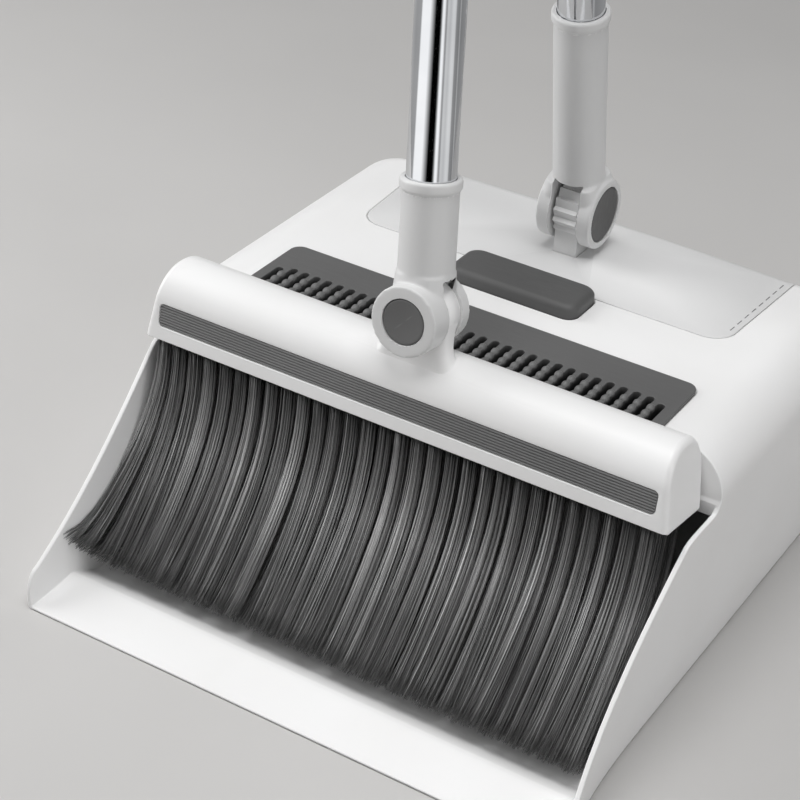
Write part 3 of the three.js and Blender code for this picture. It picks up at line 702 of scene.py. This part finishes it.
def ellipsoid(centre, radii, around=14, up=8):
    """Points and faces of one closed ellipsoid."""
    points = [(0, 0, -1)]
    for k in range(1, up):
        angle = math.pi * (k / up - 0.5)
        turns = [2 * math.pi * i / around for i in range(around)]
        level = math.cos(angle)
        points += [(level * math.cos(a), level * math.sin(a), math.sin(angle)) for a in turns]
    points.append((0, 0, 1))
    faces = [(0, 1 + (i + 1) % around, 1 + i) for i in range(around)]
    for k in range(up - 2):
        for i in range(around):
            a = 1 + k * around + i
            b = 1 + k * around + (i + 1) % around
            faces.append((a, b, b + around, a + around))
    last = len(points) - 1
    faces += [(last, last - around + i, last - around + (i + 1) % around) for i in range(around)]
    return np.array(points) * radii + centre, faces


def gather(name, shapes, place=None):
    """One object from many (points, faces) shapes."""
    points, faces, start = [], [], 0
    for co, polygons in shapes:
        points.append(co)
        faces += [tuple(i + start for i in p) for p in polygons]
        start += len(co)
    obj = add_mesh(name, np.concatenate(points), faces, place)
    for polygon in obj.data.polygons:
        polygon.use_smooth = True
    return obj


BOX_FACES = [(0, 3, 2, 1), (4, 5, 6, 7), (0, 1, 5, 4), (1, 2, 6, 5), (2, 3, 7, 6), (3, 0, 4, 7)]


def painted_groove_shade_dashes():
    """A row of short thin dark dashes that stand a hair above the panel, just inside its right edge: painted
    shade for a row of small grooves.
    """
    inset, half, length = 4.2, 0.26, 4.6
    slope = (PANEL_REAR_HALF - PANEL_FRONT_HALF) / (REAR + 10 - PANEL_FRONT)
    dashes = []
    y = PANEL_FRONT + PANEL_CORNER
    while y < REAR - REAR_RADIUS - 8:
        x = PANEL_FRONT_HALF - inset + slope * (y - PANEL_FRONT)
        outline = [(x - half, y), (x + half, y), (x + half + slope * length, y + length),
                   (x - half + slope * length, y + length)]
        corners = np.concatenate([at_height(outline, HEIGHT - 0.3), at_height(outline, HEIGHT + 0.03)])
        dashes.append((corners, BOX_FACES))
        y += 7.6
    groove_shade_dashes = gather("painted_groove_shade_dashes", dashes)
    # Dark plastic on the dashes: painted shade of grooves.
    dress(groove_shade_dashes, BEAD)
    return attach(groove_shade_dashes, NODES["deck_panel"]["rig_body"])


BEAD_PITCH = 5.6


def comb_beads():
    """Chains of round beads along the comb's fingers, which catch the bristles."""
    edges = [comb_slots()[0] - SLOT_PITCH] + comb_slots()
    shapes = []
    for x in [e + SLOT_PITCH / 2 for e in edges][1:-1]:
        for k in range(3):
            centre = np.array((x, SLOT_END - 8.6 - k * BEAD_PITCH, COMB_HIGH[2] - 0.9))
            shapes.append(ellipsoid(centre, np.array((2.05, 2.75, 2.3))))
    beads = gather("comb_beads", shapes)
    dress(beads, BEAD)
    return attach(beads, NODES["comb_plate"]["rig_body"])


def foot_pad():
    top, edge, crown = PAD_TOP, 3.6, 0.6
    levels = [(HEIGHT - TOP - 4, 0), (HEIGHT, 0), (top - crown - edge, 0)]
    for angle in np.radians(np.linspace(6, 84, 10)):
        levels.append((top - crown - edge * (1 - math.sin(angle)), edge * (1 - math.cos(angle))))
    for share in np.linspace(0.15, 1, 8):
        levels.append((top - crown * (1 - share) ** 2, edge + 8.6 * share))
    rings = []
    for z, inset in levels:
        corner = min(PAD_CORNER, (PAD_REAR - PAD_FRONT) / 2 - inset - 0.1)
        rings.append(at_height(rounded_box(-PAD_HALF + inset, PAD_HALF - inset, PAD_FRONT + inset,
                                           PAD_REAR - inset, corner, 8), z))
    pad = loft("press_pad", rings)
    soften(pad, 0, weighted=False)
    return stand_for(pad, "foot_pad", RUBBER)


# ---- Forks and poles, in the fork's frame ----

# disc and button are radii; front, back and gap are along the pin; slot_top and length are heights above
# it; reach, low, high and corner shape the shoulder between discs and socket.
PAN_FORK = {"disc": 18.2, "button": 14.3, "front": 15.2, "back": 15.2, "gap": 7.9, "slot_top": 21.4,
            "length": 115.0, "reach": 15.2, "low": 16.8, "high": 14.4, "corner": 6.0,
            "button_material": CAP}
BROOM_FORK = {"disc": 16.8, "button": 10.7, "front": 18.8, "back": 13.0, "gap": 6.0, "slot_top": 17.8,
              "length": 63.5, "reach": 14.2, "low": 14.2, "high": 13.6, "corner": 11.0,
              "button_material": DARK}
SOCKET = 13.2  # radius
POCKET = 5.6  # depth of the button's pocket


def fork(name, sizes, place):
    """Two discs that hold the pivot, a shoulder and a socket for the tube."""
    disc, front, back, length = sizes["disc"], sizes["front"], sizes["back"], sizes["length"]
    body = rod(f"{name}_hinge_fork", disc, -back, front, 96, place, "X")
    barrel = rod("barrel", SOCKET, 6, length - 5, 96, place)
    narrowing = smooth_line([(0, sizes["low"], sizes["reach"]), (11, sizes["high"], sizes["reach"]),
                             (20, SOCKET - 0.1, SOCKET - 0.1)], 6)
    rings = [at_height(rounded_box(-min(back, reach), min(front, reach), -half, half, sizes["corner"], 8), z)
             for z, half, reach in narrowing]
    join(body, barrel, loft("shoulder", rings, place))
    flow_together(body, 0.55, 12)
    lip = [(0, length - 6.5), (SOCKET - 0.4, length - 6.5), (SOCKET + 0.1, length - 5.6),
           (SOCKET + 0.7, length - 5), (14.3, length - 4.2), (14.3, length - 1.3), (14.0, length - 0.5),
           (13.4, length), (0, length)]
    join(body, turned("lip", lip, 96, place))
    cut(body, block("slot", -sizes["gap"], sizes["gap"], -40, 40, -40, sizes["slot_top"], place))
    cut(body, rod("bore", TUBE_BORE, TUBE_SEAT, length + 10, 96, place))
    cut(body, rod("pin_bore", PIN_BORE, -40, 40, 48, place, "X"))
    cut(body, rod("pocket", sizes["button"] + CLEAR, front - POCKET, front + 10, 96, place, "X"))
    cut(body, rod("back_pocket", sizes["button"] + CLEAR, -back - 10, -back + 2.2, 96, place, "X"))
    soften(body, 0.22, 38, 2)
    return stand_for(body, f"{name}_fork", PALE)


def button(name, sizes, place):
    """A shallow dished button with a rounded rim."""
    face = sizes["front"] - 0.3
    r = sizes["button"]
    outline = [(0, face - 2.4), (r - 0.3, face - 2.4), (r, face - 2.1), (r, face - 0.7)]
    outline += [(r - 0.7 + 0.7 * math.cos(a), face - 0.7 + 0.7 * math.sin(a))
                for a in np.radians([30, 60, 90])]
    outline += [(r * s, face - 0.75 * (1 - (s / 0.93) ** 2)) for s in (0.9, 0.8, 0.65, 0.45, 0.22)]
    outline.append((0, face - 0.75))
    cap = turned(f"{name}_release_button", outline, 96, place, "X")
    soften(cap, 0, weighted=False)
    return stand_for(cap, f"{name}_button", sizes["button_material"])


def back_cap(name, sizes, place):
    r, outer = sizes["button"], -sizes["back"] + 0.4
    outline = [(0, outer), (r - 0.5, outer), (r - 0.15, outer + 0.15), (r, outer + 0.5),
               (r, outer + 1.7), (0, outer + 1.7)]
    cap = turned(f"{name}_back_cap", outline, 96, place, "X")
    soften(cap, 0.2)
    return stand_for(cap, f"{name}_cap", DARK)


def tube(name, node, z0, z1, place):
    inner = TUBE_OUTER - TUBE_WALL
    outline = [(inner, z0), (TUBE_OUTER, z0), (TUBE_OUTER, z1), (inner, z1)]
    made = turned(name, outline, 128, place)
    soften(made, 0.2)
    return stand_for(made, node, TUBE_STEEL)


def coupler(name, z, place):
    """Joins the two tubes: a sleeve with a rounded collar."""
    outline = [(TUBE_BORE, z - 20), (12.9, z - 20), (13.4, z - 19.4), (13.4, z - 3), (13.6, z - 2.4)]
    outline += [(13.4 + 0.8 * math.cos(a), z + 1.9 * math.sin(a)) for a in np.radians([-60, -30, 0, 30, 60])]
    outline += [(13.6, z + 2.4), (13.4, z + 3), (13.4, z + 19.4), (12.9, z + 20), (TUBE_BORE, z + 20)]
    outline += [(TUBE_BORE, z + 1), (8, z + 1), (8, z - 1), (TUBE_BORE, z - 1)]
    made = turned(f"{name}_tube_coupler", outline, 96, place)
    soften(made, 0.15)
    return stand_for(made, f"{name}_coupler", PALE)


GRIP_PITCH = 23.0


def grip(name, z0, z1, place):
    """A soft sleeve with shallow finger grooves."""
    outline = [(TUBE_BORE, z0), (12.9, z0), (13.5, z0 + 0.5), (14.3, z0 + 2), (14.6, z0 + 4)]
    z = z0 + GRIP_PITCH
    while z < z1 - 12:
        outline += [(14.6 - 0.8 * math.exp(-((t / 1.6) ** 2)), z + t) for t in np.linspace(-4.5, 4.5, 13)]
        z += GRIP_PITCH
    outline += [(14.6, z1 - 4), (14.3, z1 - 2), (13.8, z1 - 0.6), (13.2, z1), (TUBE_BORE, z1)]
    made = turned(f"{name}_hand_grip", outline, 96, place)
    soften(made, 0.15)
    return stand_for(made, f"{name}_grip", RUBBER)


def hang_cap(name, tube_top, grip_top, top, place):
    """The end cap: a plug, a rounded collar and a flat tongue with a hanging eye."""
    plug_radius = TUBE_OUTER - TUBE_WALL - CLEAR
    outline = [(0, tube_top - 14), (plug_radius - 0.5, tube_top - 14), (plug_radius, tube_top - 13.5),
               (plug_radius, grip_top + CLEAR), (14.0, grip_top + CLEAR), (14.4, grip_top + 1),
               (14.4, grip_top + 2), (13.6, grip_top + 4.6), (12, grip_top + 6.2), (8, grip_top + 7.4),
               (0, grip_top + 8)]
    made = turned(f"{name}_end_cap", outline, 96, place)
    tongue = [(-11, grip_top + 3), (11, grip_top + 3)] + arc(0, top - 11, 11, 0, 180, 28)
    rings = [np.array([(x, y, z) for x, z in tongue], float) for y in (-3.5, 3.5)]
    join(made, loft("tongue", rings, place))
    cut(made, rod("eye", 5.5, -15, 15, 48, place, "Y", (0, 0, top - 11)))
    soften(made, 1.0, 40, 3)
    return stand_for(made, f"{name}_hang_cap", WHITE)


CLIP_REACH = 29.0  # from the pan's tube to the brush's tube when it is clipped in
CLIP_HEIGHT = 262


def storage_clip(z, place):
    """A band round the pan's tube and an open jaw for the brush's tube."""
    z0, z1 = z - 11, z + 11
    made = rod("brush_clip", 14.4, z0, z1, 96, place)
    join(made, rod("jaw", 14.4, z0, z1, 96, place, "Z", (0, -CLIP_REACH, 0)))
    join(made, block("bridge", -7, 7, -CLIP_REACH + 8, -8, z0, z1, place))
    cut(made, rod("band_bore", TUBE_BORE, z0 - 1, z1 + 1, 96, place))
    cut(made, rod("jaw_bore", 11.9, z0 - 1, z1 + 1, 96, place, "Z", (0, -CLIP_REACH, 0)))
    cut(made, block("jaw_mouth", -9.2, 9.2, -60, -CLIP_REACH - 5, z0 - 1, z1 + 1, place))
    soften(made, 0.6, 40, 3)
    return stand_for(made, "storage_clip", WHITE)


PAN_POLE = {"coupler": 345.0, "tube_top": 612.0, "grip": (520.0, 636.0), "top": 664.0}
BROOM_POLE = {"coupler": 345.0, "tube_top": 684.0, "grip": (592.0, 708.0), "top": 736.0}


def pole(name, sizes, heights, place):
    fork(name, sizes, place)
    button(name, sizes, place)
    back_cap(name, sizes, place)
    middle = heights["coupler"]
    tube(f"{name}_lower_tube", f"{name}_tube_lower", TUBE_SEAT + CLEAR, middle - 1 - CLEAR, place)
    tube(f"{name}_upper_tube", f"{name}_tube_upper", middle + 1 + CLEAR, heights["tube_top"], place)
    coupler(name, middle, place)
    grip(name, *heights["grip"], place)
    hang_cap(name, heights["tube_top"], heights["grip"][1], heights["top"], place)


# ---- Brush head, in its own frame: y back from the front face, z up from the lower edge ----

HEAD_TILT = math.radians(9)
HEAD_MIDDLE = (BRISTLE_LOW[0] + BRISTLE_HIGH[0]) / 2
HEAD_EDGE = Vector((HEAD_MIDDLE, -65.5, 114.8))  # middle of the lower front edge
HEAD_FRAME = Matrix.Translation(HEAD_EDGE * MM) @ Matrix.Rotation(-HEAD_TILT, 4, "X")
HEAD_HALF = 141.7
HEAD_DEPTH = 38.0
HEAD_HEIGHT = 38.0
HEAD_DRAFT = 0.155  # the ends lean in by this much for each millimetre up
HEAD_END_RADIUS = 3.0
HEAD_WALL = 2.6
BLOCK_DEPTH = 11.0
STRIP_HALF = 134.0
STRIP_LOW = 7.4
STRIP_HIGH = 18.6
STRIP_RIBS = 8


def head_section(inset):
    """The head's section, made smaller by inset, from its lower front edge over the top to the back."""
    line = smooth_line([(0, 0), (0, 10), (0, 19), (0.5, 24), (2.6, 29.4), (6.2, 33.8), (11, 36.8), (16.5, 38),
                        (22, 38), (28, 36.2), (32.8, 32.4), (36, 27), (HEAD_DEPTH - 0.4, 20.5),
                        (HEAD_DEPTH, 14), (HEAD_DEPTH, 7), (HEAD_DEPTH, 0)], 3)
    middle = np.array((HEAD_DEPTH / 2, 14.0))
    away = line - middle
    length = np.linalg.norm(away, axis=1)[:, None]
    section = middle + away * (1 - inset / length)
    low = line[:, 1] < 1
    section[low, 1] = line[low, 1]
    section[low, 0] = line[low, 0] + np.where(line[low, 0] < middle[0], inset, -inset)
    return section


def head_shell():
    steps = [(HEAD_END_RADIUS * (1 - math.sin(a)), HEAD_END_RADIUS * (1 - math.cos(a)))
             for a in np.radians(np.linspace(90, 0, 7))]

    def ring(side, back, inset):
        return np.array([(side * (HEAD_HALF - back - HEAD_DRAFT * z), y, z) for y, z in head_section(inset)])

    left = [ring(-1, back, inset) for back, inset in steps]
    right = [ring(1, back, inset) for back, inset in reversed(steps)]
    shell = loft("brush_head", left + right, HEAD_FRAME)
    inner = [(y, -1 if z < 1 else z) for y, z in head_section(HEAD_WALL)]
    cut(shell, cross_prism("hollow", inner, -HEAD_HALF + 7, HEAD_HALF - 7, HEAD_FRAME))
    cut(shell, block("block_room", -HEAD_HALF + 3.6, HEAD_HALF - 3.6, HEAD_WALL, HEAD_DEPTH - HEAD_WALL,
                     -1, BLOCK_DEPTH + CLEAR, HEAD_FRAME))
    soften(shell, 0.5, 38, 3, weighted=False)
    freeze(shell)
    join(shell, head_lug())
    pivot = head_pivot() / MM
    cut(shell, rod("pin_bore", PIN_BORE, -10, 60, 48, HEAD_FRAME, "Y", (pivot.x, 0, pivot.z)))
    chamfer = 0.35
    rings = [np.array([(x, y, z) for x, z in strip_outline(CLEAR + grow)])
             for y, grow in ((-1, 1 + chamfer), (chamfer, 0), (1.9, 0))]
    cut(shell, loft("strip_room", rings, HEAD_FRAME))
    soften(shell, 0)
    return stand_for(shell, "head_shell", WHITE)


def head_pivot():
    return HEAD_FRAME.inverted() @ Vector(JOINTS["broom_handle_tilt"]["pos_m"])


def facing_prism(name, outline, y0, y1):
    """An outline in x and z of the head's frame, drawn out along y."""
    rings = [np.array([(x, y, z) for x, z in outline], float) for y in (y0, y1)]
    return loft(name, rings, HEAD_FRAME)


def strip_outline(grow):
    half = STRIP_HALF + grow
    return rounded_box(-half, half, STRIP_LOW - grow, STRIP_HIGH + grow, 2.2 + grow, 6)


def head_lug():
    """The lug on top of the head, round at the pivot and melted into a length of the head's own top."""
    pivot = head_pivot() / MM
    radius, half_y = 15.6, BROOM_FORK["gap"] - 0.4
    base = HEAD_HEIGHT - 8
    rings = []
    for z in np.linspace(base, pivot.z, 22):
        away = 1 - (z - base) / (pivot.z - base)
        half_x = radius + 9 * away ** 3
        grown_y = half_y + 1.8 * away ** 5
        corner = min(0.93 * grown_y, 0.8 + 8 * away)
        outline = rounded_box(pivot.x - half_x, pivot.x + half_x, pivot.y - grown_y, pivot.y + grown_y,
                              corner, 7)
        rings.append(at_height(outline, z))
    lug = loft("lug", rings, HEAD_FRAME)
    top = [(y, z) for y, z in head_section(0.3) if z > BLOCK_DEPTH + 4]
    join(lug, cross_prism("head_top", top, pivot.x - 46, pivot.x + 46, HEAD_FRAME))
    flow_together(lug, 0.6, 26)
    face = half_y + 0.06
    wheel = rod("wheel", radius, pivot.y - face, pivot.y + face, 96, HEAD_FRAME, "Y", (pivot.x, 0, pivot.z))
    return join(lug, wheel)


def head_strip():
    """The dark strip let into the front face, with fine ribs along its length."""
    pitch = (STRIP_HIGH - STRIP_LOW) / STRIP_RIBS
    face = []
    for z in np.linspace(STRIP_HIGH, STRIP_LOW, STRIP_RIBS * 8 + 1):
        wave = 0.5 - 0.5 * math.cos(2 * math.pi * (STRIP_HIGH - z) / pitch)
        face.append((0.75 - 0.7 * wave ** 0.6, z))
    outline = [(1.6, STRIP_LOW), (1.6, STRIP_HIGH)] + face
    strip = cross_prism("ribbed_strip", outline, -STRIP_HALF, STRIP_HALF, HEAD_FRAME)
    common(strip, facing_prism("strip_shape", strip_outline(0), -3, 3))
    soften(strip, 0, 40)
    return stand_for(strip, "head_strip", STRIP)


# ---- Bristles ----

# The brush's front and back seen from the side, as (y, z) from the roots to the tips.
BRUSH_FRONT = [(-64.5, 113.2), (-66.5, 95), (-72, 77), (-82, 59), (-96, 41), (-111, 25), (-122, 15.5)]
BRUSH_BACK = [(-32, 108), (-34, 88), (-40, 68), (-52, 48), (-70, 29), (-92, 13.5), (-114, 7.5)]
BRISTLE_HALF = (BRISTLE_HIGH[0] - BRISTLE_LOW[0]) / 2
TUFTS = 30
STRANDS_PER_TUFT = 62
STRAND_RINGS = 11


def strand_path(chance, hole, lean, shares, front, back):
    """A strand's centre line, its places from root 0 to tip 1, and how far across its tuft it is."""
    angle = chance.uniform(0, 2 * math.pi)
    out = math.sqrt(chance.uniform(0, 1))
    across, deep = out * math.cos(angle), out * math.sin(angle)
    share = shares[0] + (shares[1] - shares[0]) * (0.5 + 0.5 * deep)
    reach = 1 - abs(chance.normal(0, 0.035)) - 0.02 * abs(across)
    t = np.linspace(0, reach, STRAND_RINGS)
    along = np.linspace(0, 1, len(front))
    front_y, front_z = (np.interp(t, along, front[:, k]) for k in (0, 1))
    back_y, back_z = (np.interp(t, along, back[:, k]) for k in (0, 1))
    y = front_y + (back_y - front_y) * share
    z = front_z + (back_z - front_z) * share
    spread = 3.3 + 1.6 * t ** 1.2
    x = HEAD_MIDDLE + hole + across * spread + lean * 1.3 * t ** 1.6 + chance.normal(0, 0.9) * t ** 2
    waver = chance.normal(0, 0.55, 2)
    phase = chance.uniform(0, 6.28)
    y = y + waver[0] * np.sin(phase + 5 * t) * t
    z = z + np.abs(waver[1]) * t * 0.8
    # Strands near the left end fan out, up and forward.
    edge = np.clip((-x - 120) / 22, 0, 1)
    x = x - edge * 9 * t ** 1.3
    z = z + edge ** 1.5 * 23 * t ** 3
    y = y - edge * 16 * t ** 2
    # The side walls hold them in.
    room = pan_half(y, z) - WALL - 0.6
    return np.stack([np.clip(x, -room, room), y, z], 1), t, across


def strand_skin(path, thick, turn):
    """The points along a strand's three edges, each from root to tip."""
    ahead = np.gradient(path, axis=0)
    ahead /= np.linalg.norm(ahead, axis=1)[:, None]
    side = np.cross(ahead, (1, 0, 0))
    side /= np.linalg.norm(side, axis=1)[:, None]
    third = np.cross(ahead, side)
    points = []
    for corner in range(3):
        a = turn + corner * 2 * math.pi / 3
        points += (path + (side * math.cos(a) + third * math.sin(a)) * thick[:, None]).tolist()
    return points


def strand_faces(start):
    """The faces of the strand whose points begin at number start."""
    n = STRAND_RINGS
    faces = []
    for corner in range(3):
        a, b = start + corner * n, start + ((corner + 1) % 3) * n
        faces += [(a + k, b + k, b + k + 1, a + k + 1) for k in range(n - 1)]
    faces.append((start + 2 * n, start + n, start))
    faces.append((start + n - 1, start + 2 * n - 1, start + 3 * n - 1))
    return faces


def bristles(name, node, shares, seed):
    """One row of tufts: fine tapering strands that fan out from their holes and curve forward to the tips.

    shares are the row's near and far limits between the brush's front and back.
    """
    chance = np.random.default_rng(seed)
    front, back = smooth_line(BRUSH_FRONT, 8), smooth_line(BRUSH_BACK, 8)
    pitch = 2 * (BRISTLE_HALF - 3) / (TUFTS - 1)
    points, faces, tones, places = [], [], [], []
    lean = chance.normal(0, 1, TUFTS + 6)
    for tuft in range(TUFTS):
        hole = -BRISTLE_HALF + 3 + tuft * pitch
        tuft_tone = chance.normal(0, 0.05)
        for _ in range(STRANDS_PER_TUFT):
            path, t, across = strand_path(chance, hole, lean[tuft], shares, front, back)
            thick = 0.27 * (1 - 0.55 * (t / t[-1]) ** 6) * chance.uniform(0.8, 1.15)
            faces += strand_faces(len(points))
            points += strand_skin(path, thick, chance.uniform(0, 2 * math.pi))
            # Strands at the sides of each tuft are made darker: painted shade in the gaps between tufts.
            tone = tuft_tone + chance.normal(0, 0.16) - 0.25 * max(0, abs(across) - 0.7)
            tones.extend([tone] * 3 * STRAND_RINGS)
            places.extend(list(t) * 3)
    row = add_mesh(name, points, faces)
    for key, values in (("tone", tones), ("along", places)):
        attribute = row.data.attributes.new(key, "FLOAT", "POINT")
        attribute.data.foreach_set("value", np.array(values, np.float32))
    for polygon in row.data.polygons:
        polygon.use_smooth = True
    return stand_for(row, node, BRISTLE)


def all_bristles():
    bristles("bristle_row_front", "bristles_front", (0.0, 0.2), 11)
    bristles("bristle_row_middle", "bristles_middle", (0.4, 0.62), 12)
    bristles("bristle_row_rear", "bristles_rear", (0.8, 1.0), 13)


# ---- Studio ----


def light(name, spot, aim, size, power):
    data = bpy.data.lights.new(name, "AREA")
    data.shape = "RECTANGLE"
    data.size, data.size_y = size
    data.energy = power
    obj = bpy.data.objects.new(name, data)
    obj.location = spot
    obj.rotation_mode = "QUATERNION"
    obj.rotation_quaternion = (Vector(aim) - Vector(spot)).to_track_quat("-Z", "Y")
    bpy.context.scene.collection.objects.link(obj)
    return obj


def floor_sheet():
    floor = add_mesh("floor", np.array([(-6, -6, 0), (6, -6, 0), (6, 6, 0), (-6, 6, 0)]) / MM, [(0, 1, 2, 3)])
    paint = Paint("floor")
    cloud = paint.noise(3, 4)
    colour = paint.mix(paint.spread(cloud, 0, 1), grey(196, 0.015), grey(202, 0.015))
    grain = paint.bump(paint.noise(900, 3), 0.1, 0.1)
    dress(floor, paint.set(Base_Color=colour, Roughness=0.75, Normal=grain))


def room_light():
    """Dim light from all round, brighter from above."""
    world = bpy.data.worlds.new("room")
    bpy.context.scene.world = world
    world.use_nodes = True
    nodes, links = world.node_tree.nodes, world.node_tree.links
    background = nodes["Background"]
    coordinate = nodes.new("ShaderNodeTexCoord")
    split = nodes.new("ShaderNodeSeparateXYZ")
    links.new(coordinate.outputs["Generated"], split.inputs[0])
    ramp = nodes.new("ShaderNodeValToRGB")
    ramp.color_ramp.elements[0].position = 0.35
    ramp.color_ramp.elements[0].color = (0.30, 0.30, 0.30, 1)
    ramp.color_ramp.elements[1].position = 0.95
    ramp.color_ramp.elements[1].color = (1, 1, 1, 1)
    links.new(split.outputs["Z"], ramp.inputs["Fac"])
    links.new(ramp.outputs["Color"], background.inputs["Color"])
    background.inputs["Strength"].default_value = 0.24


def lamps():
    light("overhead", (0.1, -0.2, 1.9), (0, 0, 0.1), (1.2, 1.2), 20)
    light("left", (-1.3, -0.3, 0.75), (0, 0, 0.3), (0.7, 1.4), 13)
    light("right", (1.5, 0.0, 0.7), (0, 0, 0.1), (0.6, 1.2), 5)
    light("front", (0.2, -1.6, 0.9), (0, 0, 0.1), (1.2, 0.8), 2.5)


CAMERA_SPOT = (0.4089, -0.7682, 0.6510)  # metres
CAMERA_HEADING = 30.06  # degrees to the left of +Y
CAMERA_DIP = 32.56
CAMERA_ROLL = 3.55
CAMERA_LENS = 95.2

# Brightness of the cards by the direction they stand in, in degrees from the camera's heading.
CARDS = [(-180, 0.25), (-140, 0.5), (-100, 0.42), (-70, 0.45), (-64, 1.3), (-34, 1.3), (-24, 0.45), (-17, 0),
         (-2, 0), (2, 0.5), (4, 1.3), (10, 1.25), (13, 0.5), (16, 0.35), (20, 0.8), (30, 0.7), (40, 0.9),
         (50, 0.85), (56, 0.35), (72, 0.28), (78, 0.55), (84, 0.3), (120, 0.35), (180, 0.25)]


def reflection_cards():
    """Bright and dark upright cards round the poles, seen only in reflections, as for chrome in a studio."""
    sides = 240
    heading = CAMERA_HEADING - 90
    points, faces, levels = [], [], []
    for i in range(sides):
        turn = -180 + 360 * i / sides
        a = math.radians(heading + turn)
        for z in (175, 1100):
            points.append((-30 + 200 * math.cos(a), 30 + 200 * math.sin(a), z))
            levels.append(np.interp(turn, [c[0] for c in CARDS], [c[1] for c in CARDS]))
    for i in range(sides):
        a, b = 2 * i, 2 * ((i + 1) % sides)
        faces.append((a, b, b + 1, a + 1))
    ring = add_mesh("reflection_cards", points, faces)
    attribute = ring.data.attributes.new("level", "FLOAT", "POINT")
    attribute.data.foreach_set("value", np.array(levels, np.float32))
    material = bpy.data.materials.new("reflection_cards")
    material.use_nodes = True
    tree = material.node_tree
    tree.nodes.clear()
    level = tree.nodes.new("ShaderNodeAttribute")
    level.attribute_name = "level"
    glow = tree.nodes.new("ShaderNodeEmission")
    out = tree.nodes.new("ShaderNodeOutputMaterial")
    tree.links.new(level.outputs["Fac"], glow.inputs["Strength"])
    tree.links.new(glow.outputs[0], out.inputs["Surface"])
    material.cycles.emission_sampling = "NONE"
    dress(ring, material)
    ring.visible_camera = False
    ring.visible_diffuse = False
    ring.visible_shadow = False
    ring.visible_transmission = False


def camera():
    data = bpy.data.cameras.new("camera")
    data.sensor_width = 36
    data.lens = CAMERA_LENS
    obj = bpy.data.objects.new("camera", data)
    heading, dip, roll = (math.radians(a) for a in (CAMERA_HEADING, CAMERA_DIP, CAMERA_ROLL))
    level = math.cos(dip)
    forward = Vector((-math.sin(heading) * level, math.cos(heading) * level, -math.sin(dip)))
    right = Vector((math.cos(heading), math.sin(heading), 0))
    up = right.cross(forward)
    across = right * math.cos(roll) + up * math.sin(roll)
    upward = up * math.cos(roll) - right * math.sin(roll)
    turn = Matrix((across, upward, -forward)).transposed().to_4x4()
    obj.matrix_world = Matrix.Translation(CAMERA_SPOT) @ turn
    bpy.context.scene.collection.objects.link(obj)
    bpy.context.scene.camera = obj


# ---- Assembly ----


def clean_cad_nodes():
    """The CAD pieces that show as they are get their material, welded and softly rounded edges."""
    slots = {s["node"]: s["material_slot"] for s in frame["record"]["subparts"]}
    for name, obj in NODES.items():
        if obj.hide_render:
            continue
        dress(obj, MATERIALS.get(slots.get(name), DARK))
        weld = obj.modifiers.new("weld", "WELD")
        weld.merge_threshold = 0.00001
        soften(obj, 0.25, 30)


pan_shell()
deck_panel()
painted_groove_shade_dashes()
comb()
comb_beads()
foot_pad()
pole("pan", PAN_FORK, PAN_POLE, PAN_FRAME)
storage_clip(CLIP_HEIGHT, PAN_FRAME)
pole("broom", BROOM_FORK, BROOM_POLE, BROOM_FRAME)
head_shell()
head_strip()
all_bristles()
clean_cad_nodes()
floor_sheet()
room_light()
lamps()
reflection_cards()
camera()
bpy.context.scene.view_settings.view_transform = "Standard"
